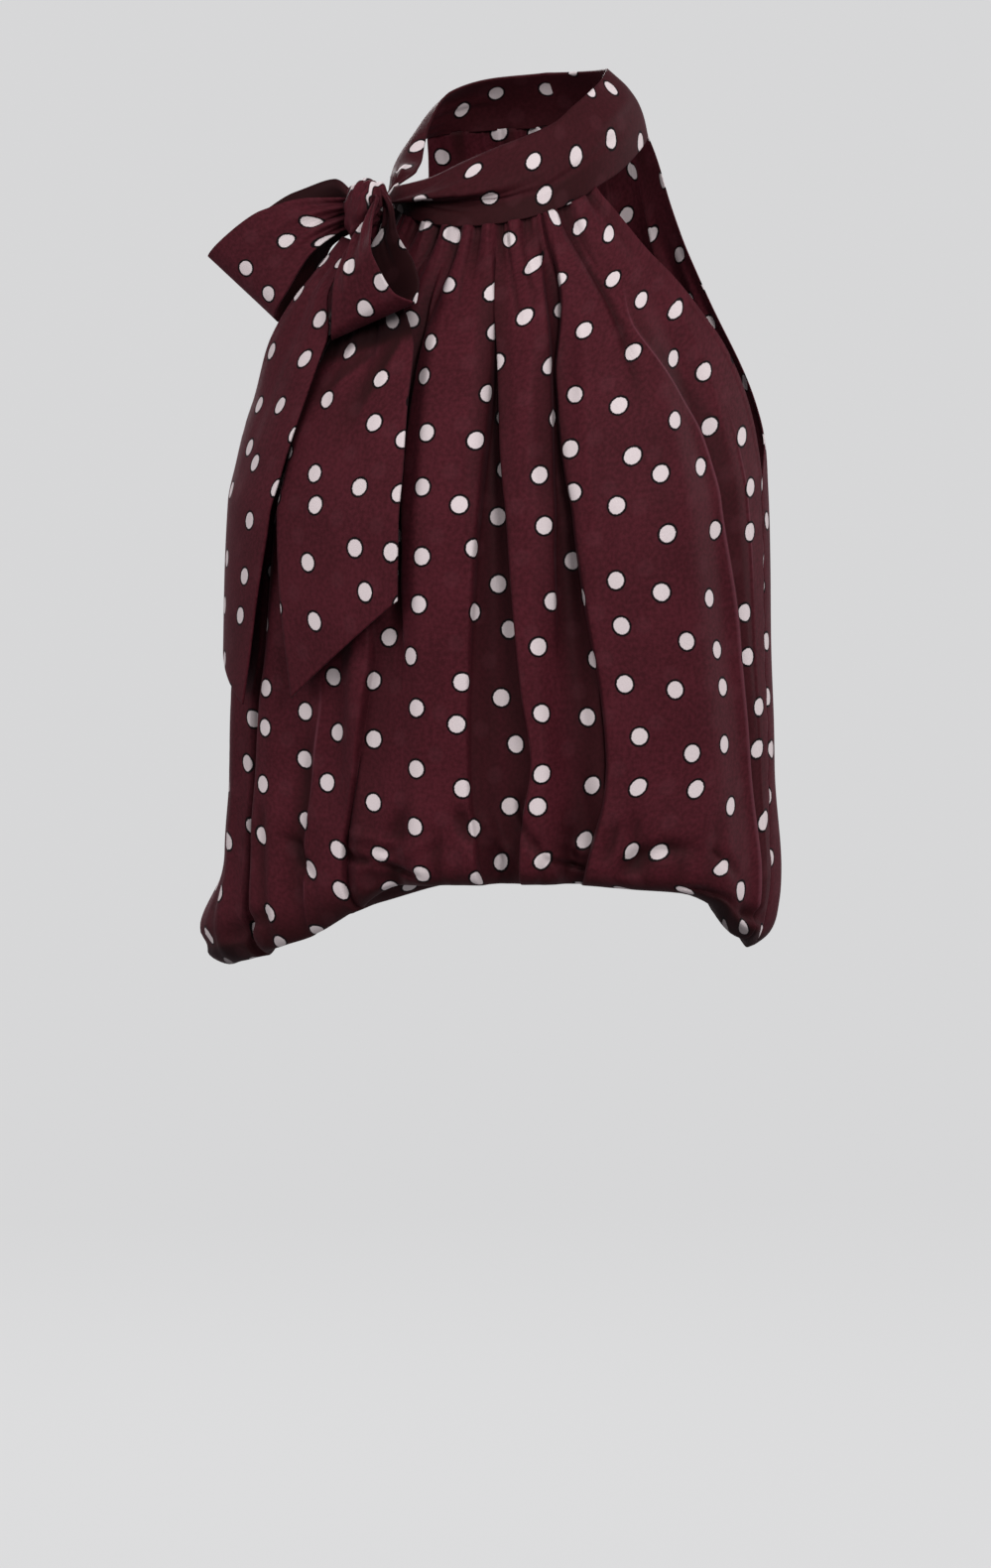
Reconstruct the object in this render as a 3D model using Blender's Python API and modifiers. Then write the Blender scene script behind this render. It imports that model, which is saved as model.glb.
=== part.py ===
# A sleeveless high neck top in soft cloth, with a neck band tied in a bow at one side.
# Metres, +Z up. The wearer faces -Y, and the wearer's left is +X.
# The origin is on the axis of the neck, where the neck band holds the top up.

import math

import bpy

# Driving sizes
CLOTH = 0.0016
BAND_CLOTH = 0.0020
SEAM_GAP = 0.00035
SEAM_SETBACK = 0.0010
HEM_TUCK = 0.030
KNOT_CENTRE = (-0.0598, -0.0743, -0.0310)
KNOT_LENGTH = 0.030
KNOT_REACH = 0.0110
KNOT_HEIGHT = 0.0165
KNOT_TURN = 41.0
KNOT_PINCH = 0.16
KNOT_CREASE = 0.05

# Places down a panel, as shares of its length
GATHERS_END = 0.21
SETBACK_END = 0.10
FOLD_FADE = 0.22
CHEST = 0.40
LOW_START = 0.55
FOLD_WIDEST = 0.80
WAIST = 0.90

# How the surface is smoothed
SIDE_FADE = 0.10
EDGE_FALL = 0.85
GATHER_DRIFT = 0.05
BLOUSE_REACH = 0.75
TUCK_SMOOTHING = 0.3

# Turns from the middle of the front between which the band meets no panel, in degrees
BARE_FROM = 60
BARE_TO = 125

FRONT_ACROSS = 60
FRONT_DOWN = 27
BACK_ACROSS = 34
BACK_DOWN = 20
TURN_ROWS = 8
BAND_AROUND = 54
BAND_UP = 8
LOOP_ACROSS = 5
LOOP_ALONG = 28
TAIL_ACROSS = 5
TAIL_ALONG = 20

BURGUNDY = (0.056, 0.012, 0.017, 1.0)
BURGUNDY_DARK = (0.040, 0.008, 0.012, 1.0)

# The front panel, in millimetres: its edge and its middle at each step down.
# down, half-arc in degrees, edge x, edge y, edge z, middle y, middle z
FRONT_ROWS = [
    (0.00, 60, 62, -35, -18, -75, -41),
    (0.05, 63, 73, -35, -30, -83, -56),
    (0.10, 67, 91, -33, -52, -94, -73),
    (0.15, 71, 109, -30, -71, -103, -92),
    (0.20, 75, 123, -28, -89, -111, -110),
    (0.25, 78, 134, -26, -105, -118, -128),
    (0.30, 81, 143, -24, -124, -124, -147),
    (0.35, 84, 149, -23, -142, -129, -166),
    (0.40, 87, 153, -22, -161, -133, -186),
    (0.45, 90, 156, -22, -184, -136, -206),
    (0.55, 90, 158, -23, -228, -137, -246),
    (0.65, 90, 159, -24, -275, -136, -287),
    (0.75, 90, 161, -24, -322, -134, -325),
    (0.85, 90, 162, -24, -370, -131, -360),
    (0.92, 90, 163, -24, -400, -129, -382),
]

# The back panel, in the same columns.
BACK_ROWS = [
    (0.00, 60, 67, 39, 20, 80, 27),
    (0.05, 61, 70, 49, 6, 85, 8),
    (0.10, 62, 74, 58, -15, 90, -14),
    (0.15, 64, 81, 63, -39, 94, -38),
    (0.20, 67, 91, 65, -63, 97, -62),
    (0.25, 71, 104, 62, -88, 98, -87),
    (0.30, 76, 119, 53, -112, 98, -112),
    (0.35, 81, 134, 36, -136, 97, -136),
    (0.40, 86, 147, 11, -160, 95, -160),
    (0.45, 90, 156, -22, -184, 92, -184),
    (0.55, 90, 158, -23, -228, 88, -232),
    (0.65, 90, 159, -24, -275, 86, -280),
    (0.75, 90, 161, -24, -322, 85, -328),
    (0.85, 90, 162, -24, -370, 84, -366),
    (0.92, 90, 163, -24, -400, 83, -389),
]

# How the cloth blouses over and turns under at the waist.
# along the turn, share of the tuck inward, share of the fall
TURN = [
    (0.00, 0.00, 0.00),
    (0.20, -0.06, 0.36),
    (0.38, -0.04, 0.68),
    (0.52, 0.06, 0.88),
    (0.64, 0.22, 0.98),
    (0.74, 0.42, 1.00),
    (0.86, 0.68, 0.93),
    (1.00, 1.00, 0.78),
]

# The lowest line of the blousing, in millimetres.
# across the panel, lowest z, how far it stands out
FRONT_HEM = [
    (-1.00, -460, 20),
    (-0.86, -461, 15),
    (-0.70, -457, 7),
    (-0.54, -449, 2),
    (-0.38, -439, 0),
    (-0.22, -421, 0),
    (-0.10, -407, 0),
    (0.30, -405, 0),
    (0.48, -408, 0),
    (0.64, -411, 0),
    (0.78, -433, 0),
    (1.00, -444, -3),
]
BACK_HEM = [
    (-1.00, -460, 20),
    (-0.80, -453, 12),
    (-0.45, -431, 4),
    (-0.15, -415, 0),
    (0.20, -413, 0),
    (0.50, -421, 0),
    (0.78, -436, 0),
    (1.00, -444, -3),
]

# Soft pleats that fall from the neck: place across the panel at the neck, chest and waist,
# half-width at the neck and waist, lean of the steep side (-1 left, 1 right), depth in
# millimetres (inward is negative), where each starts, and its strength low down
FOLD_COLUMNS = (
    "neck", "chest", "waist", "width_neck", "width_waist", "lean", "depth", "start", "strength_low"
)
FRONT_FOLDS = [
    (0.19, 0.15, 0.15, 0.080, 0.095, -0.3, -9, 0.06, 1.00),
    (0.50, 0.33, 0.34, 0.090, 0.090, 0.3, -10, 0.06, 1.00),
    (0.38, 0.24, 0.25, 0.140, 0.070, 0.0, 3, 0.02, 0.90),
    (0.76, 0.60, 0.62, 0.140, 0.180, 0.0, 4, 0.05, 0.95),
    (0.88, 0.76, 0.86, 0.110, 0.110, 0.3, -5, 0.06, 0.90),
    (-0.10, -0.08, -0.10, 0.080, 0.100, 0.2, -7, 0.02, 0.50),
    (0.05, 0.02, -0.02, 0.120, 0.110, 0.2, 3, 0.03, 1.00),
    (-0.30, -0.24, -0.25, 0.080, 0.100, 0.3, -5, 0.02, 1.60),
    (-0.56, -0.38, -0.38, 0.090, 0.090, 0.0, -5, 0.04, 1.00),
    (-0.74, -0.52, -0.60, 0.090, 0.090, 0.3, -5, 0.06, 1.40),
    (-0.90, -0.82, -0.84, 0.090, 0.100, 0.0, -3, 0.10, 0.60),
]
BACK_FOLDS = [
    (0.02, 0.03, 0.05, 0.070, 0.100, 0.3, -7, 0.03, 1.00),
    (0.36, 0.30, 0.27, 0.070, 0.100, 0.0, -6, 0.03, 1.00),
    (-0.34, -0.28, -0.25, 0.070, 0.110, -0.3, -7, 0.03, 1.00),
    (0.19, 0.16, 0.15, 0.090, 0.080, 0.0, 3, 0.05, 0.95),
    (-0.16, -0.12, -0.10, 0.090, 0.080, 0.0, 3, 0.05, 0.95),
    (0.68, 0.56, 0.54, 0.080, 0.090, -0.2, -5, 0.05, 0.95),
    (-0.64, -0.54, -0.52, 0.080, 0.090, 0.2, -6, 0.05, 1.00),
    (0.88, 0.80, 0.80, 0.080, 0.090, 0.0, -4, 0.10, 0.90),
    (-0.90, -0.82, -0.80, 0.080, 0.090, 0.0, -4, 0.10, 1.00),
]

GATHERS_FRONT = 10
GATHERS_BACK = 7
GATHER_HEIGHT = 0.0022

# The lower edge of the neck band between the two panels, over the bare sides of the neck.
# turn from the front in degrees, radius and z in millimetres
BAND_SIDES = [
    (-110, 75, 15),
    (-95, 71, 3),
    (-75, 70, -11),
    (75, 72, -9),
    (95, 75, 6),
    (110, 77, 15),
]

# The neck band above its seam, in millimetres.
# turn from the front in degrees, then radius and z of the stand, hollow, crest and top
BAND_ROWS = [
    (-180, 78, 35, 74, 42, 68, 49, 58, 57),
    (-150, 77, 33, 73, 40, 66, 47, 56, 54),
    (-120, 72, 25, 69, 32, 64, 39, 55, 45),
    (-95, 69, 10, 66, 15, 61, 20, 53, 24),
    (-75, 69, -4, 66, -1, 60, 2, 52, 4),
    (-58, 70, -12, 69, -9, 65, -7, 56, -5),
    (-41, 71, -23, 71, -21, 83, -26, 76, -16),
    (-26, 72, -28, 69, -24, 79, -25, 69, -13),
    (-8, 72, -31, 69, -25, 76, -24, 61, -4),
    (10, 73, -32, 70, -25, 73, -20, 57, 4),
    (28, 72, -28, 71, -21, 71, -13, 55, 11),
    (46, 71, -18, 70, -10, 68, -1, 54, 19),
    (60, 71, -8, 70, 1, 66, 11, 53, 29),
    (85, 73, 9, 70, 19, 66, 29, 53, 43),
    (112, 75, 26, 72, 34, 66, 43, 54, 54),
    (150, 78, 34, 74, 41, 68, 48, 57, 56),
    (180, 78, 35, 74, 42, 68, 49, 58, 57),
]

# The ties, in millimetres: the two edges of the strip at each step along it.
# along, first edge x y z, second edge x y z
OUTER_LOOP = [
    (0.00, -66, -66, -20, -66, -66, -42),
    (0.05, -71, -61, -21, -71, -61, -41),
    (0.16, -90, -49, -10, -87, -60, -48),
    (0.30, -118, -40, -16, -100, -54, -70),
    (0.42, -150, -42, -36, -113, -57, -85),
    (0.50, -169, -48, -52, -119, -63, -91),
    (0.58, -160, -57, -46, -118, -71, -89),
    (0.70, -128, -66, -28, -109, -80, -78),
    (0.84, -98, -69, -22, -94, -80, -56),
    (0.95, -75, -66, -22, -75, -66, -40),
    (1.00, -70, -70, -20, -70, -70, -42),
]
INNER_LOOP = [
    (0.00, -51, -79, -44, -51, -79, -17),
    (0.05, -45, -83, -39, -45, -83, -23),
    (0.10, -48, -90, -52, -38, -92, -30),
    (0.16, -62, -93, -60, -33, -99, -44),
    (0.30, -66, -101, -80, -18, -111, -63),
    (0.42, -68, -106, -97, -13, -117, -77),
    (0.50, -67, -111, -104, -13, -122, -85),
    (0.58, -65, -117, -99, -17, -130, -80),
    (0.70, -63, -119, -78, -27, -134, -60),
    (0.84, -61, -108, -57, -39, -114, -40),
    (0.95, -49, -89, -39, -49, -89, -23),
    (1.00, -54, -83, -40, -54, -83, -22),
]

# The tie ends lie on the front panel: along the tie, then the place of each edge across
# and down the panel, and how far in front of it the edge hangs, in millimetres.
FRONT_TAIL = [
    (0.00, -0.64, 0.057, 12, -0.45, 0.069, 11),
    (0.14, -0.53, 0.118, 9, -0.21, 0.125, 8),
    (0.28, -0.45, 0.195, 8, -0.09, 0.200, 8),
    (0.42, -0.43, 0.285, 8, -0.07, 0.280, 9),
    (0.60, -0.41, 0.410, 8, -0.055, 0.390, 10),
    (0.80, -0.385, 0.555, 8, -0.055, 0.480, 10),
    (1.00, -0.345, 0.695, 8, -0.055, 0.557, 10),
]
SIDE_TAIL = [
    (0.00, -0.80, 0.061, 19, -0.62, 0.0567, 17),
    (0.12, -0.69, 0.122, 26, -0.49, 0.122, 28),
    (0.24, -0.74, 0.200, 20, -0.46, 0.195, 19),
    (0.38, -0.77, 0.310, 6, -0.45, 0.295, 8),
    (0.56, -0.79, 0.440, 4, -0.46, 0.430, 7),
    (0.78, -0.80, 0.545, 4, -0.50, 0.580, 7),
    (1.00, -0.80, 0.640, 4, -0.54, 0.710, 7),
]


def smooth_at(rows, place, column):
    """Reads one column of a table at any place, along a smooth curve through its rows."""
    last = len(rows) - 1
    place = min(max(place, rows[0][0]), rows[last][0])
    low = 0
    while low < last - 1 and place > rows[low + 1][0]:
        low += 1

    def rate(row):
        return (rows[row + 1][column] - rows[row][column]) / (rows[row + 1][0] - rows[row][0])

    def slope(row):
        if row == 0:
            return rate(0)
        if row == last:
            return rate(last - 1)
        before = rate(row - 1)
        after = rate(row)
        if before * after <= 0:
            return 0.0
        return 2 * before * after / (before + after)

    start = rows[low]
    end = rows[low + 1]
    span = end[0] - start[0]
    t = (place - start[0]) / span
    rise = t * t * (3 - 2 * t)
    lead = t * (1 - t) * (1 - t) * span * slope(low)
    trail = t * t * (1 - t) * span * slope(low + 1)
    return start[column] * (1 - rise) + end[column] * rise + lead - trail


def bump(distance):
    """A soft hill, 1 at the middle and 0 from a distance of 1."""
    if abs(distance) >= 1:
        return 0.0
    return (1 - distance * distance) ** 2


def ease(value):
    """Goes smoothly from 0 to 1."""
    value = min(max(value, 0.0), 1.0)
    return value * value * (3 - 2 * value)


def fold_height(folds, across, down):
    """Adds up how far the pleats move the cloth in or out at one place, in metres."""
    total = 0.0
    for row in folds:
        fold = dict(zip(FOLD_COLUMNS, row))
        to_chest = ease(down / CHEST)
        to_waist = ease((down - CHEST) / (WAIST - CHEST))
        centre = fold["neck"] + (fold["chest"] - fold["neck"]) * to_chest
        centre += (fold["waist"] - fold["chest"]) * to_waist
        widening = ease(down / FOLD_WIDEST)
        width = fold["width_neck"] + (fold["width_waist"] - fold["width_neck"]) * widening
        low = ease((down - LOW_START) / (FOLD_WIDEST - LOW_START))
        strength = ease((down - fold["start"]) / FOLD_FADE) * (1 + (fold["strength_low"] - 1) * low)
        distance = (across - centre) / width
        if distance * fold["lean"] > 0:
            distance /= 1 - abs(fold["lean"])
        else:
            distance /= 1 + abs(fold["lean"])
        total += fold["depth"] * strength * bump(distance)
    return total / 1000


def panel_base(rows, across, down):
    """A point on a panel before its folds, and the direction out of the cloth there."""
    half_arc = math.radians(smooth_at(rows, down, 1))
    edge = [smooth_at(rows, down, column) / 1000 for column in (2, 3, 4)]
    middle = [smooth_at(rows, down, column) / 1000 for column in (5, 6)]
    turn = half_arc * across
    share = (math.cos(turn) - math.cos(half_arc)) / (1 - math.cos(half_arc))
    x = edge[0] * math.sin(turn) / math.sin(half_arc)
    y = edge[1] + (middle[0] - edge[1]) * share
    z = edge[2] + (middle[1] - edge[2]) * max(share, 0.0) ** EDGE_FALL
    out_x = math.sin(turn) / edge[0]
    out_y = math.cos(turn) / (middle[0] - edge[1])
    length = math.hypot(out_x, out_y)
    return (x, y, z), (out_x / length, out_y / length)


def panel_point(rows, hem, folds, gathers, across, down):
    """A point on the front or back panel: across runs from -1 to 1, down from 0 to 1."""
    (x, y, z), (out_x, out_y) = panel_base(rows, across, min(down, rows[-1][0]))
    seam_fade = ease((1 - abs(across)) / SIDE_FADE)
    move = fold_height(folds, across, down) * seam_fade
    wave = math.cos(math.pi * gathers * (across + GATHER_DRIFT * math.sin(5 * across)))
    move += GATHER_HEIGHT * wave * (1 - ease(down / GATHERS_END)) * seam_fade
    if down > rows[-1][0]:
        along = (down - rows[-1][0]) / (1 - rows[-1][0])
        lowest = smooth_at(hem, across, 1) / 1000
        stands_out = smooth_at(hem, across, 2) / 1000
        inward = smooth_at(TURN, along, 1) * HEM_TUCK
        fall = smooth_at(TURN, along, 2)
        move -= inward
        move += stands_out * bump((along - 0.5) / BLOUSE_REACH)
        move *= 1 - TUCK_SMOOTHING * ease(2 * along - 1)
        z += (lowest - z) * fall
    return (x + out_x * move, y + out_y * move, z)


def row_place(share):
    """Spaces a panel's rows: the last of them share the turn at the waist."""
    turn_share = TURN_ROWS / FRONT_DOWN
    shown = FRONT_ROWS[-1][0]
    if share <= 1 - turn_share:
        return shown * share / (1 - turn_share)
    return shown + (1 - shown) * (share - 1 + turn_share) / turn_share


def front_point(across, down):
    x, y, z = panel_point(FRONT_ROWS, FRONT_HEM, FRONT_FOLDS, GATHERS_FRONT, across, down)
    setback = SEAM_SETBACK * (1 - ease(down / SETBACK_END))
    return (x, y - SEAM_GAP, z - setback)


def back_point(across, down):
    x, y, z = panel_point(BACK_ROWS, BACK_HEM, BACK_FOLDS, GATHERS_BACK, across, down)
    setback = SEAM_SETBACK * (1 - ease(down / SETBACK_END))
    return (x, y + SEAM_GAP, z - setback)


def seam_at(rows, degrees):
    """Radius and height of a panel's top edge, at a turn from the panel's middle."""
    low = 0.0
    high = 1.0
    for _ in range(30):
        across = (low + high) / 2
        (x, y, z), _out = panel_base(rows, across, 0.0)
        if math.degrees(math.atan2(x, abs(y))) < degrees:
            low = across
        else:
            high = across
    return math.hypot(x, y), z


def band_lower_edge():
    """Lays the band's lower edge along both panels' top edges and over the bare sides."""
    edge = []
    for degrees in range(-180, 181, 5):
        if abs(degrees) <= BARE_FROM:
            edge.append((degrees, *seam_at(FRONT_ROWS, abs(degrees))))
        elif abs(degrees) >= BARE_TO:
            edge.append((degrees, *seam_at(BACK_ROWS, 180 - abs(degrees))))
    for degrees, radius, height in BAND_SIDES:
        edge.append((degrees, radius / 1000, height / 1000))
    return sorted(edge)


BAND_LOWER = band_lower_edge()


def band_point(around, up):
    """A point on the neck band: around runs from 0 to 1 from the back, up from 0 to 1."""
    degrees = -180 + 360 * around
    lines = [(0.0, smooth_at(BAND_LOWER, degrees, 1), smooth_at(BAND_LOWER, degrees, 2) + SEAM_GAP)]
    for line in range(4):
        radius = smooth_at(BAND_ROWS, degrees, 1 + 2 * line) / 1000
        height = smooth_at(BAND_ROWS, degrees, 2 + 2 * line) / 1000
        lines.append(((line + 1) / 4, radius, height))
    radius = smooth_at(lines, up, 1)
    height = smooth_at(lines, up, 2)
    turn = math.radians(degrees)
    return (radius * math.sin(turn), -radius * math.cos(turn), height)


def strip_point(rows, across, along):
    """A point on a loop: along its length, and across it from its first edge to its second."""
    first = [smooth_at(rows, along, column) / 1000 for column in (1, 2, 3)]
    second = [smooth_at(rows, along, column) / 1000 for column in (4, 5, 6)]
    return tuple(a + (b - a) * across for a, b in zip(first, second))


def tail_point(rows, across, along):
    """A point on a tie end, taken from the front panel under it and moved out."""
    first = [smooth_at(rows, along, column) for column in (1, 2, 3)]
    second = [smooth_at(rows, along, column) for column in (4, 5, 6)]
    place, down, lift = [a + (b - a) * across for a, b in zip(first, second)]
    (x, y, z), (out_x, out_y) = panel_base(FRONT_ROWS, place, down)
    return (x + out_x * lift / 1000, y + out_y * lift / 1000, z)


def knot_point(around, along):
    """A point on the knot, a short gathered tube of cloth round the root of the loops."""
    turn = math.radians(KNOT_TURN)
    side = (-math.cos(turn), math.sin(turn))
    outward = (-math.sin(turn), -math.cos(turn))
    angle = 2 * math.pi * around
    pinch = 1 - KNOT_PINCH * (2 * along - 1) ** 2 + KNOT_CREASE * math.cos(3 * angle + 4 * along)
    reach = KNOT_REACH * pinch * math.cos(angle)
    rise = KNOT_HEIGHT * pinch * math.sin(angle)
    slide = KNOT_LENGTH * (along - 0.5)
    x = KNOT_CENTRE[0] + side[0] * slide + outward[0] * reach
    y = KNOT_CENTRE[1] + side[1] * slide + outward[1] * reach
    return (x, y, KNOT_CENTRE[2] + rise)


def make_material(name, colour):
    material = bpy.data.materials.new(name)
    material.use_nodes = True
    shader = material.node_tree.nodes["Principled BSDF"]
    shader.inputs["Base Color"].default_value = colour
    shader.inputs["Roughness"].default_value = 0.75
    shader.inputs["Metallic"].default_value = 0.0
    return material


def make_cloth(name, colour, collection, point, across, down, closed=False, wall=CLOTH):
    """Lofts an open sheet through point(a, b), with a running 0 to 1, and gives it a wall."""
    columns = across if closed else across + 1
    points = []
    for row in range(down + 1):
        for column in range(columns):
            points.append(point(column / across, row / down))
    faces = []
    for row in range(down):
        for column in range(across):
            beside = (column + 1) % columns
            here = row * columns
            below = (row + 1) * columns
            faces.append((here + column, below + column, below + beside, here + beside))
    mesh = bpy.data.meshes.new(name)
    mesh.from_pydata(points, [], faces)
    mesh.materials.append(make_material(name, colour))
    mesh.shade_smooth()
    item = bpy.data.objects.new(name, mesh)
    collection.objects.link(item)
    solid = item.modifiers.new("Wall", "SOLIDIFY")
    solid.thickness = wall
    solid.offset = 0.0
    solid.use_even_offset = False
    return item


def build():
    for item in list(bpy.data.objects):
        bpy.data.objects.remove(item, do_unlink=True)
    top = bpy.data.collections.new("High neck top")
    bpy.context.scene.collection.children.link(top)

    make_cloth("front", BURGUNDY, top, lambda a, b: front_point(2 * a - 1, row_place(b)),
               FRONT_ACROSS, FRONT_DOWN)
    make_cloth("back", BURGUNDY_DARK, top, lambda a, b: back_point(1 - 2 * a, row_place(b)),
               BACK_ACROSS, BACK_DOWN)
    make_cloth("neck_band", BURGUNDY, top, lambda a, b: band_point(a, 1 - b),
               BAND_AROUND, BAND_UP, closed=True, wall=BAND_CLOTH)
    make_cloth("bow_knot", BURGUNDY, top, lambda a, b: knot_point(1 - a, b),
               20, 6, closed=True)
    make_cloth("bow_loop_outer", BURGUNDY, top, lambda a, b: strip_point(OUTER_LOOP, a, b),
               LOOP_ACROSS, LOOP_ALONG)
    make_cloth("bow_loop_inner", BURGUNDY, top, lambda a, b: strip_point(INNER_LOOP, a, b),
               LOOP_ACROSS, LOOP_ALONG)
    make_cloth("tie_tail_front", BURGUNDY, top, lambda a, b: tail_point(FRONT_TAIL, a, b),
               TAIL_ACROSS, TAIL_ALONG)
    make_cloth("tie_tail_side", BURGUNDY, top, lambda a, b: tail_point(SIDE_TAIL, a, b),
               TAIL_ACROSS, TAIL_ALONG)


if __name__ == "__main__":
    build()
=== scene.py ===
# %% [markdown]
# # A high neck top in spotted crepe
# This lesson dresses a sleeveless halter blouse. The fixed frame that it starts from has the
# right sizes and the right main form, but each piece there is a plain stiff wall. Here every
# piece is made again as thin cloth with its pleats, its gathers and its printed spots.
# The frame is in metres, with +Z up. The wearer faces -Y, and the wearer's left is +X.

# %% Load the frame and keep its box
import math

import bpy
import numpy as np
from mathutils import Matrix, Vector


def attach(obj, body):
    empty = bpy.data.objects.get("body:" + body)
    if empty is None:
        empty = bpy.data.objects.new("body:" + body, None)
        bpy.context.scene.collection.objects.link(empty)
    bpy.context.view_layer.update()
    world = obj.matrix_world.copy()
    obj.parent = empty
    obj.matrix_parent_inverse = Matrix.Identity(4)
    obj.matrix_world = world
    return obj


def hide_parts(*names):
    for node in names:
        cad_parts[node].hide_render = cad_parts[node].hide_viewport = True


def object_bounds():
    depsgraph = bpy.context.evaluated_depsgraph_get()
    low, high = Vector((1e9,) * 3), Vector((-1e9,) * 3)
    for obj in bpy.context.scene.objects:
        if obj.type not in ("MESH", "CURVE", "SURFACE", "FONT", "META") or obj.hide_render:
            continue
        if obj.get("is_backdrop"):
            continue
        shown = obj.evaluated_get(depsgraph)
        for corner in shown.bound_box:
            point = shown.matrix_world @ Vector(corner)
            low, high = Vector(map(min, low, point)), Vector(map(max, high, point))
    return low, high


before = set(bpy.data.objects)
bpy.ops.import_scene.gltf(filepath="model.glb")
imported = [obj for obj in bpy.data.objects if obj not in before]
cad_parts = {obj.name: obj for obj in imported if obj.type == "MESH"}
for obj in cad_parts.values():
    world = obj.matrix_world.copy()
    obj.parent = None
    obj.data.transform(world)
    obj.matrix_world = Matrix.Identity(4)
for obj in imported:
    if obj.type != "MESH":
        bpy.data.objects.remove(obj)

cad_box = [list(corner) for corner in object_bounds()]
print("nodes in the frame:", sorted(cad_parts))

# %% [markdown]
# ## The camera
# The picture is tall, so the lens is measured on the picture's long side. The camera stands
# 20 degrees round towards the wearer's left and a little above the chest. A long lens from
# 2.6 m away keeps the sides of the blouse from bulging, as a studio photographer would do it.

# %% Place the camera
CAMERA_TURN = math.radians(20.0)
CAMERA_RISE = math.radians(3.0)
CAMERA_DISTANCE = 2.6
CAMERA_TARGET = Vector((0.0114, -0.060, -0.353))

camera_data = bpy.data.cameras.new("studio_camera")
camera_data.sensor_fit = "VERTICAL"
camera_data.sensor_height = 36.0
camera_data.lens = 105.79
camera = bpy.data.objects.new("studio_camera", camera_data)
bpy.context.scene.collection.objects.link(camera)
away = Vector((
    math.sin(CAMERA_TURN) * math.cos(CAMERA_RISE),
    -math.cos(CAMERA_TURN) * math.cos(CAMERA_RISE),
    math.sin(CAMERA_RISE),
))
camera.location = CAMERA_TARGET + away * CAMERA_DISTANCE
camera.rotation_euler = (-away).to_track_quat("-Z", "Y").to_euler()
bpy.context.scene.camera = camera
print("camera at", [round(value, 3) for value in camera.location])

# %% [markdown]
# ## Reading a table along a smooth curve
# A pattern maker notes a garment as a few measured rows, and draws smooth curves through them.
# The tables below are such rows. This helper reads a column between the rows, and its slopes
# are limited so that the curve never swings past a measured value. It works on whole NumPy
# arrays at once, because a fine sheet of cloth has tens of thousands of points.

# %% A curve through the rows of a table
def smooth_through(knots, values, place):
    """A smooth curve through values at knots that never swings past them. The result has a
    row for each place, and each row is shaped like one value."""
    place = np.clip(place, knots[0], knots[-1])
    gaps = np.diff(knots).reshape((-1,) + (1,) * (values.ndim - 1))
    rates = np.diff(values, axis=0) / gaps
    slopes = np.concatenate([rates[:1], np.zeros_like(rates[1:]), rates[-1:]])
    product = rates[:-1] * rates[1:]
    total = rates[:-1] + rates[1:]
    np.divide(2 * product, total, out=slopes[1:-1], where=product > 0)
    low = np.clip(np.searchsorted(knots, place, side="left") - 1, 0, len(knots) - 2)
    shape = (-1,) + (1,) * (values.ndim - 1)
    span = (knots[low + 1] - knots[low]).reshape(shape)
    t = (place - knots[low]).reshape(shape) / span
    rise = t * t * (3 - 2 * t)
    lead = t * (1 - t) ** 2 * span * slopes[low]
    trail = t * t * (1 - t) * span * slopes[low + 1]
    return values[low] * (1 - rise) + values[low + 1] * rise + lead - trail


def read_table(rows, place, column):
    """Reads one column of a table at places of any shape."""
    place = np.asarray(place, float)
    knots = np.array([row[0] for row in rows], float)
    values = np.array([row[column] for row in rows], float)
    return smooth_through(knots, values, place.reshape(-1)).reshape(place.shape)


def bump(distance):
    """A soft hill, 1 at the middle and 0 from a distance of 1."""
    return np.clip(1 - np.asarray(distance, float) ** 2, 0, None) ** 2


def ease(value):
    """Goes smoothly from 0 to 1."""
    value = np.clip(value, 0.0, 1.0)
    return value * value * (3 - 2 * value)


# %% [markdown]
# ## The cut of the two panels
# The front and the back are each one panel. It is gathered into the neck band, slants out along
# the armholes, drops from the chest, and blouses over before it turns in at the waist. A place
# on a panel is given by two numbers: across, from -1 at the wearer's right side seam to 1 at
# the left one, and down, from 0 at the band to 1 at the hidden edge.
# One row holds the half-ellipse of one level: how far it turns, its edge and its middle.

# %% Rows of the panels, in millimetres
HEM_TUCK = 0.030
BAND_GAP = 0.00035
SEAM_ALLOWANCE = 0.0010
# down, half-arc in degrees, edge x, edge y, edge z, middle y, middle z
FRONT_ROWS = [
    (0.00, 60, 62, -35, -18, -75, -41),
    (0.05, 63, 73, -35, -30, -83, -56),
    (0.10, 67, 91, -33, -52, -94, -73),
    (0.15, 71, 109, -30, -71, -103, -92),
    (0.20, 75, 123, -28, -89, -111, -110),
    (0.25, 78, 134, -26, -105, -118, -128),
    (0.30, 81, 143, -24, -124, -124, -147),
    (0.35, 84, 149, -23, -142, -129, -166),
    (0.40, 87, 153, -22, -161, -133, -186),
    (0.45, 90, 156, -22, -184, -136, -206),
    (0.55, 90, 158, -23, -228, -137, -246),
    (0.65, 90, 159, -24, -275, -136, -287),
    (0.75, 90, 161, -24, -322, -134, -325),
    (0.85, 90, 162, -24, -370, -131, -360),
    (0.92, 90, 163, -24, -400, -129, -382),
]
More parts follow.
